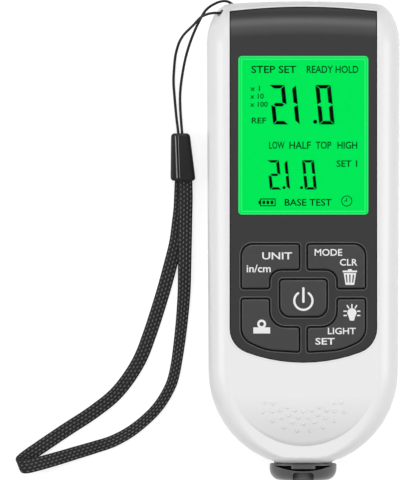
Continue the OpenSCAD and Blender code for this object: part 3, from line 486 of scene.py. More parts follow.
@dataclass
class Ink(Mesh):
    """Flat shapes between two heights in mm, such as print.

    A shape that another one overlaps has a drop, by which its top lies lower.
    """

    low: float = 0.0
    high: float = 0.0
    bold: float = 0.014

    def plate(self, outline: Sequence[Point2], drop: float = 0.0) -> None:
        """Adds the area inside an outline.

        Args:
            outline: Its corners in mm, counter-clockwise.
            drop: How much lower its top lies.
        """
        n, base = len(outline), len(self.vertices)
        self.vertices += [(x, y, z) for z in (self.low, self.high - drop) for x, y in outline]
        self.faces.append(tuple(base + i for i in reversed(range(n))))
        self.faces.append(tuple(base + n + i for i in range(n)))
        self.faces += [(base + i, base + (i + 1) % n, base + n + (i + 1) % n, base + n + i) for i in range(n)]

    def ring(self, centre: Point2, outer: float, inner: float, start: float = 0.0, end: float = 360.0,
             steps: int = 40, drop: float = 0.0) -> None:
        """Adds a flat ring or a part of one, as short plates side by side.

        Args:
            centre: Its centre in mm.
            outer: Outer radius.
            inner: Inner radius.
            start: First angle in degrees.
            end: Last angle in degrees.
            steps: Number of plates.
            drop: How much lower its top lies.
        """
        turn = [math.radians(start + (end - start) * step / steps) for step in range(steps + 1)]
        for a, b in zip(turn, turn[1:]):
            corners = ((inner, a), (outer, a), (outer, b), (inner, b))
            self.plate([on_circle(centre, radius, angle) for radius, angle in corners], drop)

    def disc(self, centre: Point2, radius: float, drop: float = 0.0) -> None:
        """Adds a flat disc of that radius."""
        self.plate([on_circle(centre, radius, a) for a in full_turn(24)], drop)

    def bar(self, start: Point2, end: Point2, width: float, drop: float = 0.0) -> None:
        """Adds a flat straight bar.

        Args:
            start: Middle of one end in mm.
            end: Middle of the other end.
            width: Its width.
            drop: How much lower its top lies.
        """
        along = Vector((end[0] - start[0], end[1] - start[1])).normalized()
        side = Vector((-along.y, along.x)) * (width / 2.0)
        a, b = Vector(start), Vector(end)
        self.plate([tuple(a - side), tuple(b - side), tuple(b + side), tuple(a + side)], drop)

    def words(self, text: str, left: float, right: float, middle_y: float, height: float) -> None:
        """Adds a line of plain lettering.

        Args:
            text: The letters.
            left: Left end in mm.
            right: Right end in mm.
            middle_y: Middle of the letters' height.
            height: Height of the letters in mm.
        """
        data = bpy.data.curves.new("words", "FONT")
        data.body, data.extrude, data.offset, data.resolution_u = text, 0.5, self.bold, 3
        source = add_object("words", data)
        solid = solid_mesh(source)
        co = np.array([v.co for v in solid.vertices])
        lo, hi = co.min(axis=0), co.max(axis=0)
        scale = [(right - left) / (hi[0] - lo[0]), height / (hi[1] - lo[1]), self.high - self.low]
        co = (co - [lo[0], (lo[1] + hi[1]) / 2, -data.extrude]) * scale + [left, middle_y, self.low]
        base = len(self.vertices)
        self.vertices += [tuple(p) for p in co]
        self.faces += [tuple(base + i for i in f.vertices) for f in solid.polygons]
        bpy.data.objects.remove(source)
        bpy.data.curves.remove(data)
        bpy.data.meshes.remove(solid)


@dataclass
class CaseForm:
    """The rounded form of the case, in millimetres, as its halves, panel and door follow it."""

    width: float = 50.0
    thickness: float = 27.0
    top_y: float = 62.5
    end_y: float = -57.5
    end_centre_y: float = -33.6
    end_r: float = 24.6
    corner_w: float = 6.2
    corner_l: float = 10.4
    top_crown: float = 0.6
    front_round: float = 5.2
    front_rise: float = 9.0
    top_round: float = 9.0
    low_round: float = 1.8
    back_round: float = 4.0
    back_rise: float = 6.0
    flat_reach: float = 2e-3

    def insets(self, z: float, d: float) -> Point3:
        """Works out how far the form stands in at a height.

        Args:
            z: The height in mm.
            d: How far the form is moved inwards.

        Returns:
            The insets of the flanks, the top end and the round end.
        """
        def bend(left: float, rise: float) -> float:
            """Returns the share of a rounding's depth where that much of its height is left."""
            sine = min(1.0, max(0.0, 1.0 - left / (rise - d)))
            return 1.0 - math.sqrt(1.0 - sine * sine)

        if z > self.thickness - self.front_rise:
            in_by = bend(self.thickness - d - z, self.front_rise)
            flank, top, low = self.front_round - d, self.top_round - d, self.low_round
            return d + flank * in_by, d + top * in_by, d + low * in_by
        if z < self.back_rise:
            return (d + (self.back_round - d) * bend(z - d, self.back_rise),) * 3
        return d, d, d

    def outside(self, x: float, y: float, z: float, d: float = 0.0) -> float:
        """Measures how far a point lies outside the form in plan.

        Args:
            x: The point's place across, in mm.
            y: Its place along.
            z: Its height.
            d: How far the form is moved inwards.

        Returns:
            The distance, which is below 0 inside the form.
        """
        side, top, low = self.insets(z, d)
        x = abs(x)
        half, radius = self.width / 2 - side, self.end_r - side
        corner_x, corner_y = self.width / 2 - self.corner_w, self.top_y - self.top_crown - self.corner_l
        if y >= corner_y:
            if x <= corner_x:
                return y - (self.top_y - top - self.top_crown * (x / corner_x) ** 2)
            a, b = half - corner_x, self.corner_l - top
            return (math.hypot((x - corner_x) / a, (y - corner_y) / b) - 1.0) * min(a, b)
        if y >= self.end_centre_y:
            share = (y - self.end_centre_y) / (corner_y - self.end_centre_y)
            return x - (radius + (half - radius) * share)
        deep = self.end_r - low
        bulge = math.hypot(x / radius, (y - self.end_centre_y) / deep) - 1.0
        return max(bulge * min(radius, deep), self.end_y + low - y)

    def flat_way(self, z: float, d: float) -> float:
        """Returns 1 at the height of the flat front, -1 at that of the flat back and 0 between them."""
        return float(z > self.thickness - d - self.flat_reach) or -float(z < d + self.flat_reach)

    def normal(self, p: Point3, d: float = 0.0) -> np.ndarray:
        """Works out the outward normal at a point on the form.

        Args:
            p: The point in mm.
            d: How far the form is moved inwards.

        Returns:
            The unit normal.
        """
        way = self.flat_way(p[2], d)
        if way:
            return np.array((0.0, 0.0, way))
        steps = np.eye(3) * 1e-3
        slope = np.array([self.outside(*(p + step), d) - self.outside(*(p - step), d) for step in steps])
        return slope / max(np.linalg.norm(slope), 1e-9)

    def front_height(self, x: float, y: float) -> float:
        """Finds the height of the front surface.

        Args:
            x: Place across, in mm.
            y: Place along.

        Returns:
            The height over that place.
        """
        low, high = self.thickness - self.front_rise, self.thickness
        if self.outside(x, y, high) <= 0.0:
            return high
        for _ in range(40):
            middle = (low + high) / 2
            low, high = (middle, high) if self.outside(x, y, middle) <= 0.0 else (low, middle)
        return low


FORM = CaseForm()


@dataclass
class SmoothedNode:
    """A hard CAD node as one merged skin with clean shading."""

    node: str
    finish: Finish
    crease_deg: float = 32.0
    on_form: bool = False
    depth: float = 0.0
    merge_steps: float = 5e3
    form_reach: float = 0.6
    form_match: float = 0.97

    def build(self) -> bpy.types.Object:
        """Merges a copy of the node, sets its normals and seats it in the node's place.

        Returns:
            The piece that replaces the node.
        """
        points, faces = self._merged()
        corners = points[faces]
        normals = np.cross(corners[:, 1] - corners[:, 0], corners[:, 2] - corners[:, 0])
        kept = np.linalg.norm(normals, axis=1) > 1e-9
        faces, normals = faces[kept], normals[kept]
        piece = new_piece(self.node + "_skin", points, faces.tolist(), self.finish.material(), True)
        piece.data.normals_split_custom_set(self._shading(points, faces, normals).tolist())
        piece.data.update()
        return seat(piece, BODY_OF[self.node], SLOT_OF[self.node], self.node)

    def _merged(self) -> tuple[np.ndarray, np.ndarray]:
        """Merges the node's points.

        Returns:
            Its points in mm, each once, and its triangles.
        """
        source = frame["nodes"][self.node].data
        source.calc_loop_triangles()
        loose = np.empty(len(source.vertices) * 3, np.float32)
        source.vertices.foreach_get("co", loose)
        triangles = np.empty(len(source.loop_triangles) * 3, np.int32)
        source.loop_triangles.foreach_get("vertices", triangles)
        grid = np.round(loose.reshape(-1, 3).astype(float) / MM * self.merge_steps).astype(np.int64)
        points, place = np.unique(grid, axis=0, return_inverse=True)
        faces = place.reshape(-1)[triangles].reshape(-1, 3)
        return points / self.merge_steps, faces[(faces != np.roll(faces, 1, axis=1)).all(axis=1)]

    def _shading(self, points: np.ndarray, faces: np.ndarray, normals: np.ndarray) -> np.ndarray:
        """Works out the normal of each face corner.

        Args:
            points: The skin's points in mm.
            faces: Its triangles.
            normals: The triangles' normals, as long as their areas.

        Returns:
            One unit normal for each corner of each face, in order.
        """
        flat = unit_rows(normals)
        skin = self._on_skin(points, faces, flat)
        corners = faces.reshape(-1)
        owner = np.repeat(np.arange(len(faces)), 3)
        shading = np.zeros((len(corners), 3))
        limit = math.cos(math.radians(self.crease_deg))
        order = np.argsort(corners, kind="stable")
        for group in np.split(order, np.nonzero(np.diff(corners[order]))[0] + 1):
            mine = owner[group]
            near = (flat[mine] @ flat[mine].T > limit) & (skin[mine][:, None] == skin[mine][None, :])
            shading[group] = near @ normals[mine]
            if skin[mine].any():
                shading[group[skin[mine]]] = FORM.normal(points[corners[group[0]]], self.depth)
        return unit_rows(shading)

    def _on_skin(self, points: np.ndarray, faces: np.ndarray, flat: np.ndarray) -> np.ndarray:
        """Finds the triangles that lie on the case's own form.

        Args:
            points: The skin's points in mm.
            faces: Its triangles.
            flat: The triangles' unit normals.

        Returns:
            True for each of those triangles.
        """
        skin = np.zeros(len(faces), bool)
        if self.on_form:
            for i, middle in enumerate(points[faces].mean(axis=1)):
                near = abs(FORM.outside(*middle, self.depth)) < self.form_reach
                if near or FORM.flat_way(middle[2], self.depth):
                    skin[i] = flat[i] @ FORM.normal(middle, self.depth) > self.form_match
        return skin


class ScatterTree:
    """A node tree that sets small rounded pieces on points and turns each as its point says."""

    inputs = {
        "Points": "Geometry", "Length": "Float", "Width": "Float", "Height": "Float", "Finish": "Material",
    }

    def __init__(self, name: str, subdivisions: int) -> None:
        """Builds the tree.

        Args:
            name: The tree's name.
            subdivisions: How finely one small piece is divided.
        """
        self.tree = bpy.data.node_groups.new(name, "GeometryNodeTree")
        face = self.tree.interface
        self.sockets = {
            label: face.new_socket(name=label, in_out="INPUT", socket_type="NodeSocket" + kind).identifier
            for label, kind in self.inputs.items()
        }
        face.new_socket(name="Pieces", in_out="OUTPUT", socket_type="NodeSocketGeometry")
        self._wire(subdivisions)

    def _wire(self, subdivisions: int) -> None:
        """Adds and links the nodes.

        Args:
            subdivisions: How finely one small piece is divided.
        """
        node = Wiring(self.tree).node
        given = node("NodeGroupInput").outputs
        ball = node("GeometryNodeMeshIcoSphere", {"Radius": 0.5, "Subdivisions": subdivisions})
        size = node("ShaderNodeCombineXYZ", {"X": given["Length"], "Y": given["Width"], "Z": given["Height"]})
        shape = node("GeometryNodeTransform", {
            "Geometry": ball.outputs["Mesh"], "Scale": size.outputs["Vector"],
        })
        turn = node("GeometryNodeInputNamedAttribute", {"Name": "turn"}, data_type="FLOAT_VECTOR")
        rotation = node("FunctionNodeEulerToRotation", {"Euler": turn.outputs["Attribute"]})
        copies = node("GeometryNodeInstanceOnPoints", {
            "Points": given["Points"], "Instance": shape.outputs["Geometry"],
            "Rotation": rotation.outputs["Rotation"],
        })
        whole = node("GeometryNodeRealizeInstances", {"Geometry": copies.outputs["Instances"]})
        smooth = node("GeometryNodeSetShadeSmooth", {"Geometry": whole.outputs["Geometry"]})
        paint = node("GeometryNodeSetMaterial", {
            "Geometry": smooth.outputs["Geometry"], "Material": given["Finish"],
        })
        node("NodeGroupOutput", {"Pieces": paint.outputs["Geometry"]})

    def scatter(self, name: str, places: Sequence[Matrix], size: Point3, finish: Finish) -> bpy.types.Object:
        """Makes one mesh of small pieces.

        Args:
            name: The mesh's name.
            places: Where each small piece sits and how it is turned, in mm.
            size: Length, width and height of a small piece in mm.
            finish: Their finish.

        Returns:
            The finished object, at the origin.
        """
        data = bpy.data.meshes.new(name)
        data.from_pydata([tuple(m.translation * MM) for m in places], [], [])
        turn = data.attributes.new("turn", "FLOAT_VECTOR", "POINT")
        turn.data.foreach_set("vector", [angle for m in places for angle in m.to_euler()])
        piece = add_object(name, data)
        modifier = piece.modifiers.new("scatter", "NODES")
        modifier.node_group = self.tree
        for label, value in zip(("Length", "Width", "Height"), size):
            modifier[self.sockets[label]] = value * MM
        modifier[self.sockets["Finish"]] = finish.material()
        solid = solid_mesh(piece)
        piece.modifiers.clear()
        piece.data = solid
        return piece


@dataclass
class Viewpoint:
    """The camera straight above the gauge, with a long lens."""

    axis: Point2 = (-26.8, 0.49)
    plane_z: float = 13.0
    distance: float = 5000.0
    frame_height: float = 124.8
    sensor: float = 36.0

    def build(self) -> None:
        """Makes the camera."""
        data = bpy.data.cameras.new("camera")
        data.sensor_width = self.sensor
        data.lens = self.sensor * self.distance / self.frame_height
        data.clip_start, data.clip_end = 0.05, 50.0
        camera = add_object("camera", data)
        camera.location = (self.axis[0] * MM, self.axis[1] * MM, (self.plane_z + self.distance) * MM)
        bpy.context.scene.camera = camera


@dataclass
class Studio:
    """A plain white floor under soft light.

    Each lamp has its name, its place and the point that it faces in metres, its width and length, its
    power in watts, and whether it lights matte surfaces or shows in reflections alone.
    """

    floor_half: float = 8000.0
    sky: float = 0.40
    floor_tone: float = 0.52
    floor_glow: float = 0.68
    lamps: tuple[tuple[str, Point3, Point3, Point2, float, bool], ...] = (
        ("lamp_top", (-0.05, 0.55, 1.1), (0.0, 0.0, 0.0), (1.0, 0.7), 4.55, True),
        ("lamp_low", (-0.05, -0.55, 1.1), (0.0, 0.0, 0.0), (1.0, 0.7), 1.85, True),
        ("lamp_back", (0.0, 0.77, 0.593), (0.0, 0.05, 0.02), (0.4, 0.3), 3.1, False),
        ("lamp_left", (-0.95, 0.0, 0.50), (0.0, 0.0, 0.02), (0.16, 1.0), 3.6, True),
        ("lamp_right", (0.95, 0.0, 0.50), (0.0, 0.0, 0.02), (0.16, 1.0), 3.8, True),
    )

    def build(self) -> None:
        """Makes the floor, the world and the lamps."""
        bpy.context.scene.view_settings.view_transform = "Standard"
        self._floor()
        self._world()
        for name, place, aim, size, power, on_matte in self.lamps:
            data = bpy.data.lights.new(name, "AREA")
            data.shape = "RECTANGLE"
            data.size, data.size_y = size
            data.energy = power
            lamp = add_object(name, data)
            lamp.location = place
            lamp.rotation_euler = (Vector(aim) - Vector(place)).to_track_quat("-Z", "Y").to_euler()
            lamp.visible_camera = False
            lamp.visible_diffuse = on_matte

    @staticmethod
    def _seen(wiring: Wiring) -> bpy.types.NodeSocket:
        """Finds the rays that show the background itself.

        Args:
            wiring: The wiring of the tree.

        Returns:
            A socket that is 1 for those rays.
        """
        path = wiring.node("ShaderNodeLightPath").outputs
        seen = path["Is Camera Ray"]
        for kind in ("Is Glossy Ray", "Is Transmission Ray"):
            seen = wiring.node("ShaderNodeMath", {0: seen, 1: path[kind]}, operation="MAXIMUM").outputs[0]
        return seen

    def _floor(self) -> None:
        """Makes the white floor, which keeps the shadow."""
        h = self.floor_half
        material, wiring, shader = new_material("floor_white")
        factors = {0: self._seen(wiring), 1: self.floor_glow}
        glow = wiring.node("ShaderNodeMath", factors, operation="MULTIPLY")
        wiring.feed(shader, {
            "Base Color": (*(self.floor_tone,) * 3, 1.0), "Roughness": 0.9, "Specular IOR Level": 0.0,
            "Emission Color": WHITE, "Emission Strength": glow.outputs[0],
        })
        corners = [(-h, -h, 0.0), (h, -h, 0.0), (h, h, 0.0), (-h, h, 0.0)]
        new_piece("floor", corners, [(0, 1, 2, 3)], material)

    def _world(self) -> None:
        """Makes the white surroundings, which light the gauge at a plain level."""
        world = bpy.data.worlds.new("studio")
        world.use_nodes = True
        wiring = Wiring(world.node_tree)
        levels = {"Value": self._seen(wiring), "To Min": self.sky, "To Max": 1.0}
        level = wiring.node("ShaderNodeMapRange", levels)
        light = world.node_tree.nodes["Background"]
        wiring.feed(light, {"Color": WHITE, "Strength": level.outputs["Result"]})
        bpy.context.scene.world = world


@dataclass
class Lanyard:
    """The thin cord through the case's corner, its clasp and the flat braided wrist strap.

    The clasp's pairs are its values at the cord's end and at the strap's end. Those of its slit, a black
    plate of painted shade, and of the slit's edges, pale strips of painted highlight, are left and right, and
    slit_rise is how far the slit and its edges stand out. The bend's pairs are shares of the strap's length,
    each with the share of its width there.
    """

    cord_d: float = 0.7
    strap_w: float = 3.6
    strap_t: float = 1.2
    strap_power: float = 2.6
    fold: tuple[int, int] = (14, 16)
    bend: tuple[Point2, ...] = ((0.52, 1.0), (0.6, 0.88), (0.66, 0.8), (0.75, 0.8), (0.86, 0.96), (0.92, 1.0))
    rows: int = 4
    row_pitch: float = 0.84
    stitch_pitch: float = 1.2
    stitch: Point3 = (0.92, 0.42, 0.26)
    stitch_slant: float = 0.14
    stitch_sink: float = 0.02
    stitch_end: float = 0.5
    clasp_y: Point2 = (28.3, 15.9)
    clasp_x: Point2 = (-31.9, -31.2)
    clasp_half_w: Point2 = (2.45, 3.3)
    clasp_half_t: float = 2.3
    clasp_z: float = 2.4
    clasp_round: float = 0.9
    slit_x: Point2 = (-33.1, -32.6)
    slit_lean: float = 0.42
    slit_end: float = 0.7
    slit_depth: float = 0.3
    slit_rise: Point2 = (0.01, 0.02)
    edge_w: Point2 = (0.3, 0.12)
    edge_out: float = 0.1
    cord_route: tuple[Point3, ...] = (
        (-32.4, 27.2, 2.2), (-32.5, 28.8, 2.2), (-32.8, 31.2, 1.6), (-33.1, 34, 0.9), (-33.5, 38.5, 0.4),
        (-33.7, 41.5, 0.4), (-33.6, 44.5, 0.4), (-33.2, 48.5, 1), (-32.4, 51.5, 2.4), (-31.6, 53.1, 3.9),
        (-30.6, 54.4, 5.9), (-28.6, 56.3, 10.6), (-27.4, 57.6, 14), (-26.4, 58.5, 17),
        (-25.5, 58.9, 19.4), (-24.6, 59.2, 21.4), (-23.2, 59.4, 22.7), (-21.7, 59.4, 22.3),
        (-20, 59.5, 20.7), (-18.2, 59.6, 19), (-16.9, 59.7, 17.8), (-16.4, 60.1, 17.3),
        (-16.6, 60.6, 17.2), (-17.4, 61, 17.2), (-18.6, 61.9, 17.1), (-19.8, 62.5, 16.9),
        (-21.2, 62.5, 16.7), (-22.9, 61.9, 16.3), (-24.9, 60.6, 15.6), (-26.4, 58.5, 14.4),
        (-28.4, 54.4, 10.2), (-29.9, 50.3, 5.9), (-30.9, 46.4, 2.8), (-31.6, 42.3, 0.9),
        (-31.9, 39.7, 0.5), (-32, 37.2, 0.4), (-31.9, 34, 0.9), (-31.7, 31.2, 1.6), (-31.5, 28.8, 2.2),
        (-31.4, 27.2, 2.2),
    )
    strap_route: tuple[Point3, ...] = (
        (-31.5, 17.4, 1.5), (-31.7, 13.6, 1.2), (-31.9, 9, 0.8), (-32.4, 4.6, 0.7), (-33.1, -0.4, 0.7),
        (-34.6, -6.4, 0.7), (-36.7, -14, 0.7), (-39.9, -24, 0.7), (-43, -31.6, 0.7), (-48.2, -39, 0.7),
        (-54.4, -44.2, 0.7), (-62, -49.2, 0.7), (-69.4, -54.2, 0.7), (-71.8, -55.9, 0.8),
        (-73.2, -57, 1.4), (-73.8, -57.7, 2.6), (-73.2, -58.4, 3.8), (-71.8, -58.5, 4.3),
        (-69.2, -57.9, 4), (-64.2, -56.5, 2.4), (-59.2, -55, 1.1), (-54.2, -53.5, 0.7),
        (-49.2, -51.8, 0.7), (-44, -48.8, 0.7), (-38.6, -44, 0.7), (-35.2, -39, 0.7), (-33.4, -34, 0.7),
        (-31.9, -24, 0.7), (-31, -14, 1), (-30.8, -6.4, 2), (-30.7, 0, 2.3), (-30.6, 6, 2.4),
        (-30.5, 11.4, 2.6), (-30.6, 17.4, 2.9),
    )

    def build(self) -> None:
        """Makes clasp, cord and strap."""
        self._cord([self._clasp(), *self._slit()])
        self._strap()

    def _clasp(self) -> bpy.types.Object:
        """Makes the tapered clasp with rounded ends.

        Returns:
            The clasp.
        """
        length, radius, rings = self.clasp_y[0] - self.clasp_y[1], self.clasp_round, []
        bend = [radius * (1.0 - math.cos(math.radians(15.0 * i))) for i in range(7)]
        for run in bend + [length / 2] + [length - b for b in reversed(bend)]:
            share, near = run / length, min(run, length - run, radius)
            inset = radius - math.sqrt(radius**2 - (radius - near) ** 2)
            middle, half = (a + (b - a) * share for a, b in (self.clasp_x, self.clasp_half_w))
            section = oval(half - inset, self.clasp_half_t - 0.5 * inset, steps=40, power=6.0)
            rings.append([(middle + u, self.clasp_y[0] - run, self.clasp_z + v) for u, v in section])
        body = Mesh()
        body.tube(rings)
        clasp = body.make("lanyard_clasp_body", Finishes.CLASP, True)
        return seat(clasp, "housing", "clasp_black", "lanyard_clasp")

    def _slit(self) -> list[bpy.types.Object]:
        """Makes the slit on the clasp's front as a black plate of painted shade, and its edges as pale strips
        of painted highlight.

        Returns:
            Both pieces.
        """
        left, right = self.slit_x
        head, foot = self.clasp_y[0] - self.slit_end, self.clasp_y[1] + self.slit_end
        top = self.clasp_z + self.clasp_half_t
        slit_shade, edge_highlights = (Ink(low=top - self.slit_depth, high=top + rise) for rise in self.slit_rise)
        for ink, x, width in (
            (slit_shade, (left + right) / 2, right - left), (edge_highlights, left - self.edge_out, self.edge_w[0]),
            (edge_highlights, right + self.edge_out, self.edge_w[1]),
        ):
            ink.bar((x, head), (x + self.slit_lean, foot), width)
        return [
            seat(ink.make(name, finish), "housing", "clasp_black")
            for name, ink, finish in (
                ("lanyard_clasp_slit_painted_shade", slit_shade, Finishes.SHADE),
                ("lanyard_clasp_edge_highlights", edge_highlights, Finishes.CLASP_EDGE),
            )
        ]

    def _cord(self, clasp: list[bpy.types.Object]) -> None:
        """Makes the thin cord as one round line from clasp to case and back.

        Args:
            clasp: The clasp's pieces; not used.
        """
        line = smooth_path(self.cord_route)
        data = bpy.data.curves.new("lanyard_cord_line", "CURVE")
        data.dimensions = "3D"
        data.bevel_depth = self.cord_d / 2 * MM
        data.bevel_resolution = 3
        data.use_fill_caps = True
        spline = data.splines.new("POLY")
        spline.points.add(len(line) - 1)
        spline.points.foreach_set("co", [c for p in line for c in (*(p * MM), 1.0)])
        data.materials.append(Finishes.CORD.material())
        cord = seat(add_object("lanyard_cord_line", data), "housing", "cord_black", "lanyard_cord")

    def _strap(self) -> None:
        """Makes the flat strap with its rows of stitches."""
        line, wide = self._ribbon()
        run = runs_of(line)
        along = unit_rows(np.gradient(line, axis=0))
        wide = unit_rows(wide - along * (wide * along).sum(axis=1, keepdims=True))
        thick = np.cross(along, wide)
        wide = wide * np.interp(run / run[-1], *zip(*self.bend))[:, None]
        mesh = Mesh()
        mesh.sweep(line, wide, thick, oval(self.strap_w / 2, self.strap_t / 2, 20, self.strap_power))
        braid = mesh.make("wrist_strap_braid", Finishes.BRAID, True)
        strap = seat(braid, "housing", "cord_black", "wrist_strap")
        places = self._stitch_places(run, np.hstack([line, along, wide, thick]))
        tree = ScatterTree("stitch_tree", 1)
        stitches = tree.scatter("wrist_strap_stitches", places, self.stitch, Finishes.STITCH)
        seat(stitches, "housing", "cord_black")

    def _ribbon(self) -> tuple[np.ndarray, np.ndarray]:
        """Works out how the strap lies.

        Returns:
            Its middle line and the direction of its width at each point.
        """
        route = np.array(self.strap_route, float)
        last = len(route) - 1
        ahead = np.array([route[min(i + 1, last)] - route[max(i - 1, 0)] for i in range(last + 1)])
        level = unit_rows(np.cross(ahead, (0.0, 0.0, 1.0)))
        first, end = self.fold
        crease = unit_rows((level[first - 1] - level[end + 1])[None, :])[0]
        across = [level[i] if i < first else -level[i] if i > end else crease for i in range(last + 1)]
        return smooth_path(self.strap_route, steps=10), smooth_path([tuple(a) for a in across], steps=10)

    def _stitch_places(self, run: np.ndarray, strap: np.ndarray) -> list[Matrix]:
        """Sets out the stitches in staggered rows on both faces.

        Args:
            run: Distance along the strap at each point.
            strap: The strap's point in mm, its direction and those of its width and thickness, side by side.

        Returns:
            One place for each stitch.
        """
        places = []
        for row in range(self.rows):
            odd = row % 2
            u = (row - (self.rows - 1) / 2) * self.row_pitch
            slant = self.stitch_slant if odd else -self.stitch_slant
            bulge = (1.0 - abs(2 * u / self.strap_w) ** self.strap_power) ** (1 / self.strap_power)
            lift = self.strap_t / 2 * bulge - self.stitch_sink
            first, last = self.stitch_pitch * (0.5 + 0.5 * odd), run[-1] - self.stitch_end
            for s in np.arange(first, last, self.stitch_pitch):
                p, a, w, t = np.array([np.interp(s, run, column) for column in strap.T]).reshape(4, 3)
                places += [frame_matrix(a + w * slant, t * f, p + w * u + t * f * lift) for f in (1.0, -1.0)]
        return places


@dataclass
class Housing:
    """Both halves of the case with their grip dots, the panel's lip, the door and the screws."""

    lip_out: float = 0.425
    lip_half_w: float = 0.19
    lip_h: float = 0.18
    # A black strip of painted shade sits in the gap between the lip and the panel.
    gap_shade_out: float = 0.125
    gap_shade_half_w: float = 0.12
    gap_shade_z: Point2 = (-0.5, -0.1)
    panel_w: float = 37.8
    panel_top_y: float = 60.8
    panel_low_y: float = -31.1
    panel_crown: float = 1.2
    bow_r: float = 42.0
    corner_r: float = 6.4
    thumb_start_y: float = -40.0
    thumb_roll_r: float = 43.25
    dot_centre_y: float = -35.4
    dot_rings: tuple[tuple[float, int], ...] = ((8.6, 5), (10.3, 8), (11.8, 9), (13.7, 8))
    dot_pitch: float = 14.4
    dot: Point3 = (0.92, 0.92, 0.84)

    def build(self) -> None:
        """Makes the case's pieces."""
        SmoothedNode("front_shell", Finishes.FRONT_DISH_SHADED, on_form=True).build()
        SmoothedNode("rear_shell", Finishes.CASE, on_form=True).build()
        SmoothedNode("battery_door", Finishes.CASE, on_form=True, depth=0.15).build()
        SmoothedNode("front_panel", Finishes.PANEL, on_form=True).build()
        SmoothedNode("case_screws", Finishes.STEEL).build()
        self._seams()
        self._dots()

    def outline(self, out: float, steps: int = 16) -> list[Point2]:
        """Works out the panel's outline.

        Args:
            out: How far it is moved outwards, in mm.
            steps: Stretches per rounded corner.

        Returns:
            Its points, counter-clockwise.
        """
        centre_x = self.panel_w / 2 - self.corner_r
        bow_y = self.panel_low_y + self.bow_r
        angle = math.acos(centre_x / (self.bow_r - self.corner_r))
        centre_y = bow_y - (self.bow_r - self.corner_r) * math.sin(angle)

        def arc(cx: float, cy: float, r: float, start: float, end: float, n: int) -> list[Point2]:
            """Returns n stretches of a circle from one angle to another."""
            return [on_circle((cx, cy), r, start + (end - start) * i / n) for i in range(n + 1)]

        half, side_steps, top_steps = self.panel_w / 2 + out, 60, 40
        rise = self.panel_top_y - self.panel_crown + out - centre_y
        sides = [centre_y + rise * i / side_steps for i in range(1, side_steps)]
        top = [half * (1 - 2 * i / top_steps) for i in range(top_steps + 1)]
        return (
            arc(-centre_x, centre_y, self.corner_r + out, math.pi, math.pi + angle, steps)
            + arc(0.0, bow_y, self.bow_r + out, math.pi + angle, 2 * math.pi - angle, 2 * steps)[1:]
            + arc(centre_x, centre_y, self.corner_r + out, 2 * math.pi - angle, 2 * math.pi, steps)[1:]
            + [(half, y) for y in sides]
            + [(x, self.panel_top_y + out - self.panel_crown * (x / half) ** 2) for x in top]
            + [(-half, y) for y in reversed(sides)]
        )

    def _seams(self) -> None:
        """Makes the raised lip round the panel's pocket and a black strip of painted shade in the gap inside
        it.
        """
        half, (low, high) = self.gap_shade_half_w, self.gap_shade_z
        lip = oval(self.lip_half_w, self.lip_h, steps=16, power=4.0)
        gap_shade = [(half, low), (half, high), (-half, high), (-half, low)]
        for name, out, section, finish, slot in (
            ("panel_lip", self.lip_out, lip, Finishes.CASE, "case_white"),
            ("panel_gap_painted_shade", self.gap_shade_out, gap_shade, Finishes.SHADE, "panel_dark"),
        ):
            path = np.array([(x, y, FORM.front_height(x, y)) for x, y in self.outline(out)])
            mesh = Mesh()
            mesh.bead(path, np.array([FORM.normal(p) for p in path]), section)
            seat(mesh.make(name, finish, True), "housing", slot)

    def _dots(self) -> None:
        """Makes the rounded grip dots on the thumb rest, whose floor rolls down."""
        places = []
        for radius, count in self.dot_rings:
            for i in range(count):
                a = math.radians((i - (count - 1) / 2) * self.dot_pitch)
                y = self.dot_centre_y - radius * math.cos(a)
                roll = math.asin(max(0.0, self.thumb_start_y - y) / self.thumb_roll_r)
                spot = (radius * math.sin(a), y, FORM.thickness - self.thumb_roll_r * (1.0 - math.cos(roll)))
                places.append(frame_matrix((1.0, 0.0, 0.0), (0.0, -math.sin(roll), math.cos(roll)), spot))
        # The grip dots share the front's painted dish shade.
        dots = ScatterTree("grip_dot_tree", 3).scatter("grip_dots", places, self.dot, Finishes.FRONT_DISH_SHADED)
        seat(dots, "housing", "case_white")


class Segment(Enum):
    """The seven bars of a digit, clockwise from the top, then the middle one."""

    TOP = 0
    UPPER_RIGHT = 1
    LOWER_RIGHT = 2
    BOTTOM = 3
    LOWER_LEFT = 4
    UPPER_LEFT = 5
    MIDDLE = 6


DIGITS: dict[str, tuple[Segment, ...]] = {
    "0": tuple(s for s in Segment if s is not Segment.MIDDLE),
    "1": (Segment.UPPER_RIGHT, Segment.LOWER_RIGHT),
    "2": (Segment.TOP, Segment.UPPER_RIGHT, Segment.MIDDLE, Segment.LOWER_LEFT, Segment.BOTTOM),
}


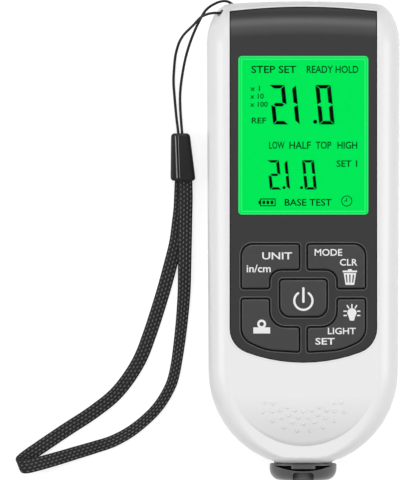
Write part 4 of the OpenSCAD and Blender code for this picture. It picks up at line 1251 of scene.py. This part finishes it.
@dataclass(frozen=True)
class Number:
    """A leaning number of seven-bar digits, in mm.

    It has the left edge of each digit at its foot, the middle of each point, the digits' foot, height and
    width, the widths of an upright bar and of a level one, the lean, and the gap at the end of each bar.
    """

    digits: str
    lefts: tuple[float, ...]
    dots: tuple[Point2, ...]
    foot: float
    tall: float
    wide: float
    upright: float
    level: float
    lean: float = -0.10
    gap: float = 0.1

    def draw(self, ink: Ink) -> None:
        """Draws points and digits.

        Args:
            ink: What they are drawn in.
        """
        for dot in self.dots:
            ink.disc(dot, self.upright / 2)
        for digit, left in zip(self.digits, self.lefts):
            for segment in DIGITS[digit]:
                ink.plate([(left + x + self.lean * y, self.foot + y) for x, y in self._bar(segment)])

    def _bar(self, segment: Segment) -> list[Point2]:
        """Works out a bar with mitred ends.

        Args:
            segment: The bar's place in its digit.

        Returns:
            Its corners, counter-clockwise.
        """
        wide, tall, upright, level, gap = self.wide, self.tall, self.upright, self.level, self.gap
        half, left, right, inner = tall / 2, upright + gap, wide - upright - gap, wide - upright
        if segment is Segment.MIDDLE:
            return [
                (upright / 2 + gap, half), (left, half - level / 2), (right, half - level / 2),
                (wide - upright / 2 - gap, half), (right, half + level / 2), (left, half + level / 2),
            ]
        if segment in (Segment.TOP, Segment.BOTTOM):
            bar = [(gap, tall), (left, tall - level), (right, tall - level), (wide - gap, tall)]
        else:
            bar = [
                (wide, half + gap), (wide, tall - gap), (inner, tall - level - gap),
                (inner, half + level / 2 + gap),
            ]
        if segment in (Segment.BOTTOM, Segment.LOWER_RIGHT, Segment.LOWER_LEFT):
            bar = [(x, tall - y) for x, y in reversed(bar)]
        if segment in (Segment.UPPER_LEFT, Segment.LOWER_LEFT):
            bar = [(wide - x, y) for x, y in reversed(bar)]
        return bar


@dataclass
class Display:
    """The window, the lit cell behind it and what the cell shows.

    Each label has its text, its left and right ends, the middle of its height and its height, in mm. Each
    frame line has the insets of its outer and inner edges.
    """

    top_z: float = 24.5
    ink_h: float = 0.03
    ink_lift: float = 0.01
    frame_z: Point2 = (0.005, 0.02)
    half_w: float = 16.85
    low_y: float = 7.1
    high_y: float = 48.2
    frame_lines: tuple[Point2, ...] = ((0.0, 0.26), (0.68, 0.95))
    numbers: tuple[Number, ...] = (
        Number("210", (-7.82, -4.93, 4.12), ((3.08, 31.16),), 30.46, 10.26, 4.02, 1.06, 0.92),
        Number("210", (-8.66, -6.53, 0.4), ((-5.0, 14.07), (-0.47, 14.07)), 13.57, 7.64, 3.12, 0.8, 0.62),
    )
    labels: tuple[tuple[str, float, float, float, float], ...] = (
        ("STEP SET", -13.47, -1.81, 44.74, 1.9), ("READY HOLD", 0.9, 14.28, 44.74, 1.9),
        ("LOW", -8.85, -4.83, 25.08, 1.9), ("HALF", -3.62, 1.91, 25.08, 1.9), ("TOP", 3.22, 7.24, 25.08, 1.9),
        ("HIGH", 8.85, 13.98, 25.08, 1.9), ("SET 1", 8.65, 13.98, 20.31, 1.7),
        ("BASE TEST", -4.83, 7.34, 10.25, 1.8), ("REF", -13.37, -9.65, 31.47, 1.5),
        ("x 1", -13.77, -11.26, 39.81, 1.35), ("x 10", -13.77, -10.26, 37.8, 1.35),
        ("x 100", -13.77, -9.25, 35.69, 1.35),
    )

    def build(self) -> None:
        """Makes window, cell and what the cell shows."""
        SmoothedNode("display_window", Finishes.WINDOW).build()
        SmoothedNode("lcd_cell", Finishes.LCD).build()
        low = self.top_z + self.ink_lift
        frames = Ink(low=self.top_z + self.frame_z[0], high=self.top_z + self.frame_z[1])
        numbers, labels = (Ink(low=low, high=low + self.ink_h) for _ in range(2))
        self._frames(frames)
        for number in self.numbers:
            number.draw(numbers)
        for label in self.labels:
            labels.words(*label)
        self._icons(labels)
        for name, ink, finish in (
            ("lcd_frames", frames, Finishes.LCD_EDGE), ("display_numbers", numbers, Finishes.SEGMENT),
            ("display_labels", labels, Finishes.LABEL),
        ):
            seat(ink.make(name, finish), "housing", "lcd_green")

    def _frames(self, ink: Ink) -> None:
        """Draws the thin lit frame lines round the cell.

        Args:
            ink: What they are drawn in.
        """
        def corners(inset: float) -> list[Point2]:
            """Returns the corners of a frame that much inside the cell's edge."""
            x, low, high = self.half_w - inset, self.low_y + inset, self.high_y - inset
            return [(-x, low), (x, low), (x, high), (-x, high)]

        for outer, inner in self.frame_lines:
            wide, narrow = corners(outer), corners(inner)
            for i in range(4):
                j = (i + 1) % 4
                ink.plate([wide[i], wide[j], narrow[j], narrow[i]])

    @staticmethod
    def _icons(ink: Ink) -> None:
        """Draws the battery and clock symbols.

        Args:
            ink: What they are drawn in.
        """
        left, right, foot, head, line = -11.21, -7.19, 9.25, 11.26, 0.26
        for low, high in ((foot, foot + line), (head - line, head)):
            ink.plate([(left, low), (right, low), (right, high), (left, high)])
        for x in (left + line / 2, right - line / 2):
            ink.bar((x, foot + line), (x, head - line), line)
        ink.bar((left - 0.4, 10.25), (left, 10.25), 0.9)
        for x in (-10.25, -9.2, -8.15):
            ink.bar((x, foot + 0.55), (x, head - 0.55), 0.72)
        x, y = clock = (11.26, 10.6)
        ink.ring(clock, 1.42, 1.2)
        ink.bar((x, y - 0.1), (x, y + 0.8), 0.22)
        ink.bar((x - 0.11, y), (x - 0.7, y), 0.2)


@dataclass
class Keypad:
    """The five keys with their white symbols and words, and the rims of their openings.

    The bow is a corner of the lower edge: its distance from the outer edge, its rise and its radius. The
    power key has half its width, its head and its foot.
    """

    front_z: float = 27.0
    top_z: float = 27.8
    ink_h: float = 0.03
    ink_sink: float = 0.01
    outer_x: float = 16.3
    step_x: float = 8.55
    bridge_x: float = 0.8
    top_y: float = -0.3
    upper_step_y: float = -7.45
    split_y: Point2 = (-12.35, -14.45)
    lower_step_y: float = -21.85
    low_y: float = -28.8
    low_rise: float = 3.5
    bow: Point3 = (6.5, 0.55, 14.0)
    tight_r: float = 0.8
    power: Point3 = (6.35, -9.45, -19.65)
    rim_w: float = 0.3
    rim_h: float = 0.05
    overlap: float = 0.004

    def build(self) -> None:
        """Makes the keys, prints on each and rims their openings."""
        draws: dict[str, Callable[[Ink], None]] = {
            "unit_key": self._unit, "mode_key": self._mode, "power_key": self._power, "zero_key": self._zero,
            "light_key": self._light,
        }
        low = self.top_z - self.ink_sink
        for key, draw in draws.items():
            SmoothedNode(key, Finishes.KEY, crease_deg=40.0).build()
            ink = Ink(low=low, high=low + self.ink_h)
            draw(ink)
            seat(ink.make(key + "_print", Finishes.PRINT), BODY_OF[key], "key_grey")
        self._rims()

    def openings(self) -> list[list[Point3]]:
        """Works out the five openings.

        Returns:
            Their corners in mm, counter-clockwise, each with its radius.
        """
        x, step, bridge, tight = self.outer_x, self.step_x, self.bridge_x, self.tight_r
        half, high, low = self.power
        upper = [
            (-x, self.top_y, 3.1), (-x, self.split_y[0], tight), (-step, self.split_y[0], tight),
            (-step, self.upper_step_y, 2.8), (-bridge, self.upper_step_y, tight),
            (-bridge, self.top_y, tight),
        ]
        lower = [
            (-x, self.low_y + self.low_rise, 4.5), (self.bow[0] - x, self.low_y + self.bow[1], self.bow[2]),
            (-bridge, self.low_y, tight), (-bridge, self.lower_step_y, tight),
            (-step, self.lower_step_y, 4.0), (-step, self.split_y[1], tight), (-x, self.split_y[1], tight),
        ]
        middle = [(-half, low, 2.9), (half, low, 2.9), (half, high, 1.0), (-half, high, 1.0)]
        mirrored = [[(-px, py, r) for px, py, r in reversed(side)] for side in (upper, lower)]
        return [upper, mirrored[0], middle, lower, mirrored[1]]

    def _rims(self) -> None:
        """Makes the rounded rims of the openings, pale as a painted highlight, and a black band of painted
        shade inside them.
        """
        rim = [
            (self.rim_w, -0.03), (self.rim_w * 0.85, self.rim_h * 0.7), (self.rim_w * 0.5, self.rim_h),
            (self.rim_w * 0.15, self.rim_h * 0.4), (-0.02, -0.12), (-0.02, -0.4), (0.1, -0.4),
        ]
        # Black band of painted shade down in the groove round each key.
        groove_shade = [(0.0, -0.8), (0.0, -0.45), (-0.2, -0.45), (-0.2, -0.8)]
        for name, section, finish in (
            ("key_opening_rims", rim, Finishes.RIM), ("key_opening_painted_shade", groove_shade, Finishes.SHADE),
        ):
            mesh = Mesh()
            for corners in self.openings():
                path = np.array([(x, y, self.front_z) for x, y in rounded(corners)])
                mesh.bead(path, np.tile((0.0, 0.0, 1.0), (len(path), 1)), section)
            seat(mesh.make(name, finish, True), "housing", "panel_dark")

    def _unit(self, ink: Ink) -> None:
        """Draws the unit key's words."""
        ink.words("UNIT", -10.67, -2.92, -3.63, 1.85)
        ink.words("in/cm", -14.7, -8.46, -6.9, 2.0)

    def _mode(self, ink: Ink) -> None:
        """Draws the mode key's words and its bin.

        Args:
            ink: What they are drawn in.
        """
        middle, head, foot, wide, narrow = 12.05, -8.06, -11.15, 1.61, 1.13
        ink.words("MODE", 2.92, 10.07, -2.72, 1.8)
        ink.words("CLR", 9.46, 13.99, -5.29, 1.75)
        ribs = ((-1.0, -0.72), (-0.48, -0.12), (0.12, 0.48), (0.72, 1.0))
        slabs = [(-1.0, 1.0, 0.0, 0.13), (-1.0, 1.0, 0.8, 1.0)]
        slabs += [(left, right, 0.13, 0.8) for left, right in ribs]
        for left, right, start, end in slabs:
            at = [(left, end), (right, end), (right, start), (left, start)]
            ink.plate([(middle + u * (wide + (narrow - wide) * v), head + (foot - head) * v) for u, v in at])
        for half, y, width in ((1.85, -7.65, 0.44), (0.5, -7.25, 0.36)):
            ink.bar((middle - half, y), (middle + half, y), width)

    def _power(self, ink: Ink) -> None:
        """Draws the power key's symbol.

        Args:
            ink: What it is drawn in.
        """
        centre, middle_r, half = (0.0, -15.25), 2.36, 0.28
        ink.ring(centre, middle_r + half, middle_r - half, 125.0, 415.0, 60)
        for degrees in (125.0, 55.0):
            ink.disc(on_circle(centre, middle_r, math.radians(degrees)), half, self.overlap)
        ends = [(0.0, -15.5), (0.0, -12.03)]
        ink.bar(*ends, 0.62)
        for end in ends:
            ink.disc(end, 0.31, self.overlap)

    def _zero(self, ink: Ink) -> None:
        """Draws the zero key's symbol: a ring that stands on a block."""
        ink.bar((-12.98, -22.95), (-8.62, -22.95), 1.57)
        ink.ring((-10.82, -21.29), 1.15, 0.56, drop=self.overlap)

    def _light(self, ink: Ink) -> None:
        """Draws the light key's lamp and words.

        Args:
            ink: What they are drawn in.
        """
        x, y, radius, ray = 12.58, -18.37, 1.19, 0.34
        glass = [on_circle((x, y), radius, math.radians(-38.0 + 256.0 * i / 24)) for i in range(25)]
        ink.plate(glass + [(x - 0.52, y - 2.05), (x + 0.52, y - 2.05)])
        ink.bar((x, -17.12), (x, -16.11), ray, self.overlap)
        for side in (-1.0, 1.0):
            ink.bar((x + side * 0.8, -17.22), (x + side * 1.28, -16.39), ray)
            for level in (-17.97, -19.08):
                ink.bar((x + side * 1.32, level), (x + side * 2.18, level), ray)
        ink.words("LIGHT", 6.34, 13.59, -23.1, 1.7)
        ink.words("SET", 3.12, 8.15, -25.77, 1.75)


@dataclass
class Probe:
    """The sprung probe in its collar."""

    turned: tuple[str, ...] = ("probe_collar", "probe_shaft", "probe_foot", "probe_cap")
    axis_z: float = 13.0
    shade_r: float = 7.23
    shade_t: float = 0.1
    shade_y: Point2 = (-59.65, -58.05)

    def build(self) -> None:
        """Makes the probe's pieces."""
        for node in self.turned:
            SmoothedNode(node, Finishes.PROBE, crease_deg=30.0).build()
        self._shade()
        SmoothedNode("probe_pole", Finishes.STEEL).build()
        SmoothedNode("probe_coil", Finishes.COPPER).build()
        SmoothedNode("probe_spring", Finishes.NICKEL, crease_deg=50.0).build()
        SmoothedNode("probe_lead", Finishes.LEAD, crease_deg=50.0).build()
        SmoothedNode("probe_socket", Finishes.SOCKET).build()

    def _shade(self) -> None:
        """Makes a black ring of painted shade on the floor of the collar's curved recess."""
        (low, high), outer, inner = self.shade_y, self.shade_r, self.shade_r - self.shade_t
        rings = []
        for radius, y in ((inner, low), (inner, high), (outer, high), (outer, low)):
            circle = [on_circle((0.0, self.axis_z), radius, a) for a in full_turn(64)]
            rings.append([(x, y, z) for x, z in circle])
        mesh = Mesh()
        mesh.tube(rings, closed=True)
        seat(mesh.make("collar_recess_painted_shade", Finishes.SHADE, True), "housing", "probe_black")


@dataclass
class Inside:
    """Board, batteries and contacts, which show when the door is open."""

    dressed: tuple[tuple[str, Finish], ...] = (
        ("backlight_guide", Finishes.GUIDE), ("backlight_leds", Finishes.GUIDE),
        ("zebra_strip", Finishes.ZEBRA), ("main_board", Finishes.BOARD),
        ("controller_chip", Finishes.CHIP), ("board_screws", Finishes.STEEL),
        ("snap_domes", Finishes.NICKEL), ("keypad_mat", Finishes.MAT), ("battery_left", Finishes.CELL),
        ("battery_right", Finishes.CELL), ("battery_springs", Finishes.NICKEL),
        ("battery_link", Finishes.NICKEL), ("battery_terminals", Finishes.NICKEL),
    )

    def build(self) -> None:
        """Makes the inner pieces."""
        for node, finish in self.dressed:
            SmoothedNode(node, finish).build()


def main() -> None:
    """Builds the camera, the cords, the gauge and the studio."""
    logging.basicConfig(level=logging.INFO, format="%(message)s")
    for builder in (Viewpoint, Lanyard, Housing, Display, Keypad, Probe, Inside, Studio):
        builder().build()


if __name__ == "__main__":
    main()
